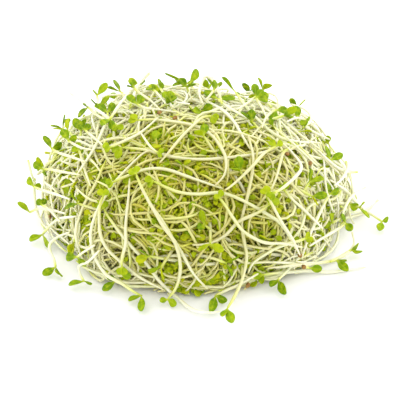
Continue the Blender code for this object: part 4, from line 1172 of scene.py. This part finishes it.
def fused_sprout(draw, number, placed, fused):
    """One sprout of the tangle, clear of all outside sprouts and with leaves that touch nothing, or None."""
    stray = number % STRAY_EVERY == 0
    for _ in range(MOST_TRIES):
        turn = number * GOLDEN_ANGLE + draw.uniform(-TURN_JITTER, TURN_JITTER)
        rise = math.asin((number + draw.random()) / TANGLE_SPROUTS)
        heights = STRAY_HEIGHTS if stray and math.sin(turn) > FRONT_SIDE else LEAF_HEIGHTS
        stem = smooth_run(wander(draw, turn, rise, draw.uniform(*heights)), SPACING)
        blades = leaf_tips(draw, stem)
        leaves = [np.linspace(base, tip, LEAF_SAMPLES)[1:] for base, tip, _, _ in blades]
        points = np.vstack([stem] + leaves)
        radii = np.full(len(points), LEAF_GUARD)
        radii[: len(stem)] = STEM_RADIUS
        touching = placed.shortfall(points, radii).max() > 0.0
        crowded = fused.shortfall(points[len(stem) :], radii[len(stem) :]).max() > 0.0
        too_low = (points[:, 2] < radii + LOW_GAP).any()
        if not (touching or crowded or too_low):
            fused.add(points, radii)
            return stem, blades
    return None


def seed_coat(number, view, placed, draw):
    """A loose seed coat, on top of what is laid there."""
    size = max(SEED_COAT_HALF_SIZE)
    height = LAYING_HEIGHT
    for _ in range(MOST_TRIES):
        at = laid(np.array([view], float), [(0, 1)], np.array([height]), np.array([height + 2.0 * size]))
        short = placed.shortfall(at, np.array([size]))[0]
        if short <= 0.0:
            break
        height += short + COAT_STEP
    placed.add(at, [size])
    turned = Matrix.Rotation(draw.uniform(0.0, math.pi), 3, "Z")
    place = np.array(Vector(unit(heap_slope(at[0]))).to_track_quat("Z", "Y").to_matrix() @ turned)
    points = ((husk.points * SEED_COAT_HALF_SIZE) @ place.T + at)[None]
    gathered(f"husk_{number:02d}", husk, points, coat_finish, [f"seed_coat_{number:02d}"], {})


def heap_core():
    """The middle of the heap, painted dark as shade, which the mat of sprouts hides but for its gaps."""
    deselected()
    bpy.ops.mesh.primitive_ico_sphere_add(subdivisions=5, radius=INSIDE, location=(0, 0, 0))
    core = bpy.context.object
    bpy.ops.object.mode_set(mode="EDIT")
    bpy.ops.mesh.select_all(action="SELECT")
    bpy.ops.mesh.bisect(plane_co=(0, 0, 0), plane_no=(0, 0, 1), use_fill=True, clear_inner=True)
    bpy.ops.object.mode_set(mode="OBJECT")
    points = np.array([vert.co for vert in core.data.vertices])
    x, y, z = (points * CORE_WAVES).T
    lumps = CORE_LUMPS * np.sin(x) * np.sin(y + 1.0) * np.cos(z)
    dome = points[:, 2] > 1e-3
    foot = settled(points[~dome], np.full(int((~dome).sum()), CORE_DEPTH - CORE_FOOT_IN), 0.0)
    points[dome] = settled(points[dome], CORE_DEPTH + lumps[dome], CORE_FLOOR_GAP)
    foot[:, 2] = CORE_FOOT_GAP
    points[~dome] = foot
    core.data.vertices.foreach_set("co", (points * MM).astype(np.float32).ravel())
    core.data.update()
    # depth holds the core's painted shade, paler at the rim of the front view
    layer = core.data.attributes.new("depth", "FLOAT", "POINT")
    layer.data.foreach_set("value", painted_shade(points, 1.0).astype(np.float32))
    core.data.shade_smooth()
    core.name = core.data.name = "heap_core"
    core.data.materials.append(core_finish)
    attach(core, "root")
    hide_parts("tangle")


class Finish:
    """A node material in the making."""

    def __init__(self, name):
        self.material = bpy.data.materials.new(name)
        self.material.use_nodes = True
        self.tree = self.material.node_tree
        self.shader = self.tree.nodes["Principled BSDF"]
        self.output = self.tree.nodes["Material Output"]

    def add(self, kind, **settings):
        """A new node of this kind, with these settings."""
        node = self.tree.nodes.new(kind)
        for key, value in settings.items():
            setattr(node, key, value)
        return node

    def link(self, source, target):
        """Feeds one socket from another."""
        self.tree.links.new(source, target)

    def set_shader(self, **values):
        """Sets inputs of the surface by their names, with a space for each underscore."""
        for key, value in values.items():
            self.shader.inputs[key.replace("_", " ")].default_value = value

    def value(self, name):
        """The piece's own attribute of this name."""
        return self.add("ShaderNodeAttribute", attribute_name=name).outputs["Fac"]

    def noise(self, scale, detail=3.0):
        """Noise on the object's own coordinates; scale is in waves for each metre."""
        place = self.add("ShaderNodeTexCoord").outputs["Object"]
        noise = self.add("ShaderNodeTexNoise")
        noise.inputs["Scale"].default_value = scale
        noise.inputs["Detail"].default_value = detail
        self.link(place, noise.inputs["Vector"])
        return noise.outputs["Fac"]

    def ramp(self, source, stops):
        """The source's values as colours, from stops of a value and its colour."""
        ramp = self.add("ShaderNodeValToRGB")
        elements = ramp.color_ramp.elements
        while len(elements) < len(stops):
            elements.new(0.5)
        for element, (at, colour) in zip(elements, stops):
            element.position = at
            element.color = (*colour, 1.0)
        self.link(source, ramp.inputs["Fac"])
        return ramp.outputs["Color"]

    def grey(self, source, low, high, at=(0.0, 1.0)):
        """The source's values from at[0] to at[1] as values from low to high."""
        spread = self.add("ShaderNodeMapRange")
        for key, number in zip(("From Min", "From Max", "To Min", "To Max"), (*at, low, high)):
            spread.inputs[key].default_value = number
        self.link(source, spread.inputs["Value"])
        return spread.outputs["Result"]

    def mix(self, factor, first, second, blend="MIX"):
        """Two colours blended. Each input is a socket or a plain value."""
        mix = self.add("ShaderNodeMix", data_type="RGBA", blend_type=blend)
        for socket, source in ((mix.inputs[0], factor), (mix.inputs[6], first), (mix.inputs[7], second)):
            if isinstance(source, bpy.types.NodeSocket):
                self.link(source, socket)
            elif isinstance(source, tuple):
                socket.default_value = (*source, 1.0)
            else:
                socket.default_value = source
        return mix.outputs[2]

    def tinted(self, colour, tint):
        """The colour with this tint laid over it."""
        return self.mix(1.0, colour, tint, "MULTIPLY")

    def times(self, first, second):
        """The product of two values, between 0 and 1."""
        product = self.add("ShaderNodeMath", operation="MULTIPLY", use_clamp=True)
        self.link(first, product.inputs[0])
        self.link(second, product.inputs[1])
        return product.outputs["Value"]

    def surface(self, colour, roughness, bumps):
        """The colour, the roughness and the bumps of the surface. roughness holds the waves of its noise for
        each metre and its range, and bumps holds waves, detail, strength, and height in metres."""
        waves, low, high = roughness
        self.link(colour, self.shader.inputs["Base Color"])
        self.link(self.grey(self.noise(waves), low, high), self.shader.inputs["Roughness"])
        waves, detail, strength, height = bumps
        bump = self.add("ShaderNodeBump")
        bump.inputs["Strength"].default_value = strength
        bump.inputs["Distance"].default_value = height
        self.link(self.noise(waves, detail), bump.inputs["Height"])
        self.link(bump.outputs["Normal"], self.shader.inputs["Normal"])

    def let_light_in(self):
        """Light that enters the surface comes out again close by."""
        self.set_shader(Subsurface_Weight=0.4, Subsurface_Radius=(0.8, 0.9, 1.0), Subsurface_Scale=0.0006)

    def let_light_through(self, colour, share):
        """Part of the light that falls on one side shows on the other."""
        thin = self.add("ShaderNodeBsdfTranslucent")
        self.link(colour, thin.inputs["Color"])
        both = self.add("ShaderNodeMixShader")
        both.inputs["Fac"].default_value = share
        self.link(self.shader.outputs["BSDF"], both.inputs[1])
        self.link(thin.outputs["BSDF"], both.inputs[2])
        self.link(both.outputs["Shader"], self.output.inputs["Surface"])


def stem_colour(finish, painted_underside_shade):
    """Cream at the root, ivory along the stem, and yellow-green at the neck, no two stems quite the same,
    with painted shade deep in the heap and on the underside.
    """
    along = finish.ramp(finish.value("along"), (
        (0.0, (0.84, 0.80, 0.56)),
        (0.1, (0.89, 0.88, 0.75)),
        (0.8, (0.88, 0.88, 0.67)),
        (0.93, (0.82, 0.84, 0.36)),
        (1.0, (0.60, 0.70, 0.08)),
    ))
    shade = finish.ramp(finish.value("tone"), (
        (0.0, (0.92, 0.90, 0.72)),
        (0.5, (1.0, 1.0, 1.0)),
        (1.0, (0.97, 1.0, 0.84)),
    ))
    rim = finish.tinted(along, shade)
    # painted shade: darker where the depth value is high, deep in the heap
    with_painted_shade = finish.mix(finish.value("depth"), rim, finish.tinted(rim, (0.82, 0.81, 0.70)))
    # painted shade: darker yellow on the stem's underside
    return finish.mix(painted_underside_shade, with_painted_shade, finish.tinted(with_painted_shade, (0.76, 0.72, 0.22)))


def make_stem_finish():
    """Moist, waxy stems that let some light through, with painted shade on their undersides and deep in the
    heap.
    """
    finish = Finish("moist_stem")
    spots = finish.grey(finish.noise(420.0), 0.0, 0.25, (0.52, 0.75))
    # painted shade on the underside of each stem, the more the higher its depth value
    painted_underside = finish.grey(finish.value("under"), 0.1, 1.0, UNDERSIDE_PAINTED_SHADE)
    painted_underside_shade = finish.times(finish.value("depth"), painted_underside)
    colour = finish.mix(spots, stem_colour(finish, painted_underside_shade), (0.66, 0.66, 0.16))
    finish.surface(colour, (900.0, 0.28, 0.5), STEM_BUMPS)
    finish.set_shader(Specular_IOR_Level=0.35)
    finish.let_light_in()
    return finish.material


def make_mat_finish():
    """Stems in the mat, with painted shade: yellow-green and olive where little daylight would reach, and
    darker on their undersides.
    """
    finish = Finish("mat_stem")
    # colours of painted shade for stems deep in the heap, varied by tone
    painted_deep_shade = finish.ramp(finish.value("tone"), (
        (0.0, (0.28, 0.22, 0.003)),
        (0.3, (0.43, 0.39, 0.006)),
        (0.7, (0.49, 0.48, 0.008)),
        (1.0, (0.34, 0.41, 0.003)),
    ))
    # painted shade on the undersides, times the painted shade value that is held as depth
    painted_underside = finish.grey(finish.value("under"), 0.5, 1.35, UNDERSIDE_PAINTED_SHADE)
    depth = finish.times(finish.value("depth"), painted_underside)
    whole = stem_colour(finish, depth)
    # pale: a darker yellow painted as shade by the depth value; then the painted deep shade takes over
    pale = finish.mix(finish.value("depth"), whole, finish.tinted(whole, (0.95, 0.92, 0.38)))
    colour = finish.mix(depth, pale, painted_deep_shade)
    # olive spots, at random, but only where the painted shade is deep
    spots = finish.times(finish.value("depth"), finish.grey(finish.noise(300.0), 0.0, 0.4, (0.5, 0.7)))
    colour = finish.mix(spots, colour, (0.48, 0.52, 0.01))
    finish.surface(colour, (900.0, 0.55, 0.8), STEM_BUMPS)
    finish.set_shader(Specular_IOR_Level=0.08)
    finish.let_light_in()
    return finish.material


def make_leaf_finish():
    """Soft green seed leaves: a yellow stalk, a lighter midrib, and fine mottling."""
    finish = Finish("seed_leaf")
    tone = finish.ramp(finish.value("tone"), (
        (0.0, (0.15, 0.29, 0.001)),
        (0.4, (0.27, 0.44, 0.001)),
        (0.75, (0.47, 0.58, 0.003)),
        (1.0, (0.68, 0.70, 0.01)),
    ))
    spots = finish.grey(finish.noise(650.0), 0.0, 0.6, (0.45, 0.65))
    mottled = finish.mix(spots, tone, (0.62, 0.69, 0.01))
    shade = finish.grey(finish.noise(380.0, 4.0), 0.45, 0.0, (0.35, 0.52))
    mottled = finish.mix(shade, mottled, (0.14, 0.28, 0.001))
    rib = finish.grey(finish.value("across"), 0.4, 0.0, (0.0, 0.16))
    ribbed = finish.mix(rib, mottled, (0.52, 0.66, 0.06))
    stalk = finish.grey(finish.value("along"), 1.0, 0.0, (0.1, 0.34))
    colour = finish.mix(stalk, ribbed, (0.62, 0.70, 0.07))
    finish.surface(colour, (1200.0, 0.42, 0.62), (1500.0, 5.0, 0.3, 0.0002))
    finish.set_shader(Specular_IOR_Level=0.15)
    finish.let_light_through(colour, 0.3)
    return finish.material


def make_coat_finish():
    """Dry brown seed husks."""
    finish = Finish("dry_husk")
    colour = finish.ramp(finish.noise(900.0, 5.0), (
        (0.3, (0.14, 0.06, 0.005)),
        (0.55, (0.32, 0.16, 0.02)),
        (0.8, (0.50, 0.30, 0.06)),
    ))
    finish.surface(colour, (1300.0, 0.4, 0.7), (2500.0, 5.0, 0.5, 0.0002))
    return finish.material


def make_core_finish():
    """Painted shade for the middle of the heap: dark olive and brown, painted pale towards the rim of the
    front view.
    """
    finish = Finish("painted_shade_middle")
    # painted shade: dark olive and brown at random, as the shaded gaps of the mat
    colour = finish.ramp(finish.noise(260.0, 6.0), (
        (0.35, (0.045, 0.02, 0.0003)),
        (0.5, (0.12, 0.10, 0.001)),
        (0.7, (0.26, 0.27, 0.002)),
    ))
    # painted light: pale ivory towards the rim of the front view, by the depth value
    colour = finish.mix(finish.value("depth"), (0.93, 0.92, 0.66), colour)
    finish.surface(colour, (500.0, 0.5, 0.8), (700.0, 5.0, 0.8, 0.001))
    finish.set_shader(Specular_IOR_Level=0.05)
    return finish.material


def set_camera():
    """The view of the photograph, from in front of the heap and above it."""
    data = bpy.data.cameras.new("camera")
    data.sensor_width = SENSOR_WIDTH
    data.lens = SENSOR_WIDTH * EYE_DISTANCE * PHOTO_SCALE / PHOTO_SIDE
    data.shift_x = (PHOTO_SIDE / 2 - PHOTO_MIDDLE[0]) / PHOTO_SIDE
    data.shift_y = (PHOTO_MIDDLE[1] - PHOTO_SIDE / 2) / PHOTO_SIDE
    data.clip_start = 0.01
    camera = bpy.data.objects.new("camera", data)
    camera.location = Vector(EYE * MM)
    camera.rotation_euler = (math.radians(90.0) - VIEW_TILT, 0.0, 0.0)
    bpy.context.scene.collection.objects.link(camera)
    bpy.context.scene.camera = camera


def add_lamp(name, place, power, size):
    """One square lamp that shines on the middle of the base."""
    data = bpy.data.lights.new(name, "AREA")
    data.energy = power
    data.size = size
    lamp = bpy.data.objects.new(name, data)
    lamp.location = place
    lamp.rotation_euler = (-Vector(place)).to_track_quat("-Z", "Y").to_euler()
    bpy.context.scene.collection.objects.link(lamp)


def set_stage():
    """A plain pale floor in plain soft light."""
    deselected()
    bpy.ops.mesh.primitive_plane_add(size=FLOOR_SIZE, location=(0, 0, 0))
    floor = bpy.context.object
    floor.name = floor.data.name = "floor"
    pale = bpy.data.materials.new("pale_floor")
    pale.use_nodes = True
    shader = pale.node_tree.nodes["Principled BSDF"]
    shader.inputs["Base Color"].default_value = (FLOOR_GREY, FLOOR_GREY, FLOOR_GREY, 1.0)
    shader.inputs["Roughness"].default_value = 0.8
    floor.data.materials.append(pale)
    world = bpy.data.worlds.new("soft_room")
    world.use_nodes = True
    world.node_tree.nodes["Background"].inputs["Color"].default_value = (1.0, 1.0, 1.0, 1.0)
    world.node_tree.nodes["Background"].inputs["Strength"].default_value = ROOM_LIGHT
    bpy.context.scene.world = world
    for lamp in LAMPS:
        add_lamp(*lamp)
    bpy.context.scene.view_settings.view_transform = "Standard"
    bpy.context.scene.view_settings.exposure = 0.0


set_camera()
set_stage()

stem_finish = make_stem_finish()
mat_finish = make_mat_finish()
leaf_finish = make_leaf_finish()
coat_finish = make_coat_finish()
core_finish = make_core_finish()
fine_stem = straight_stem(FINE_SIDES, FINE_STEPS)
plain_stem = straight_stem(PLAIN_SIDES, MAT_STEPS)
fine_leaf = flat_leaf(1)
plain_leaf = flat_leaf(0)
husk = split_husk()

draw = np.random.default_rng(MAT_SEED)
coat_draw = random.Random(TANGLE_SEED + 1)
placed = Placed()
for number, (route, tips) in enumerate(FRONT_SPROUTS, 1):
    stem, blades = lay_sprout(route, tips, placed)
    outside_sprout("sprout", number, stem, blades, draw, [f"sprout_{number:02d}"])
for number, view in enumerate(SEED_COATS, 1):
    seed_coat(number, view, placed, coat_draw)
tangle_sprouts(placed, draw)
for number, (route, tips) in enumerate(LOOSE_SPROUTS, 1):
    stem, blades = lay_sprout(route, tips, placed, LOOSE_LIFT)
    outside_sprout("loose", number, stem, blades, draw)
inner_sprouts(draw, placed)
guard = Guard(placed)
for name, count, heights, widths, leafy, shade in MAT_LAYERS:
    mat_layer(name, draw, count, heights, widths, leafy, shade, guard)
leaf_litter(draw, guard)
standing_loops(draw, guard)
heap_core()
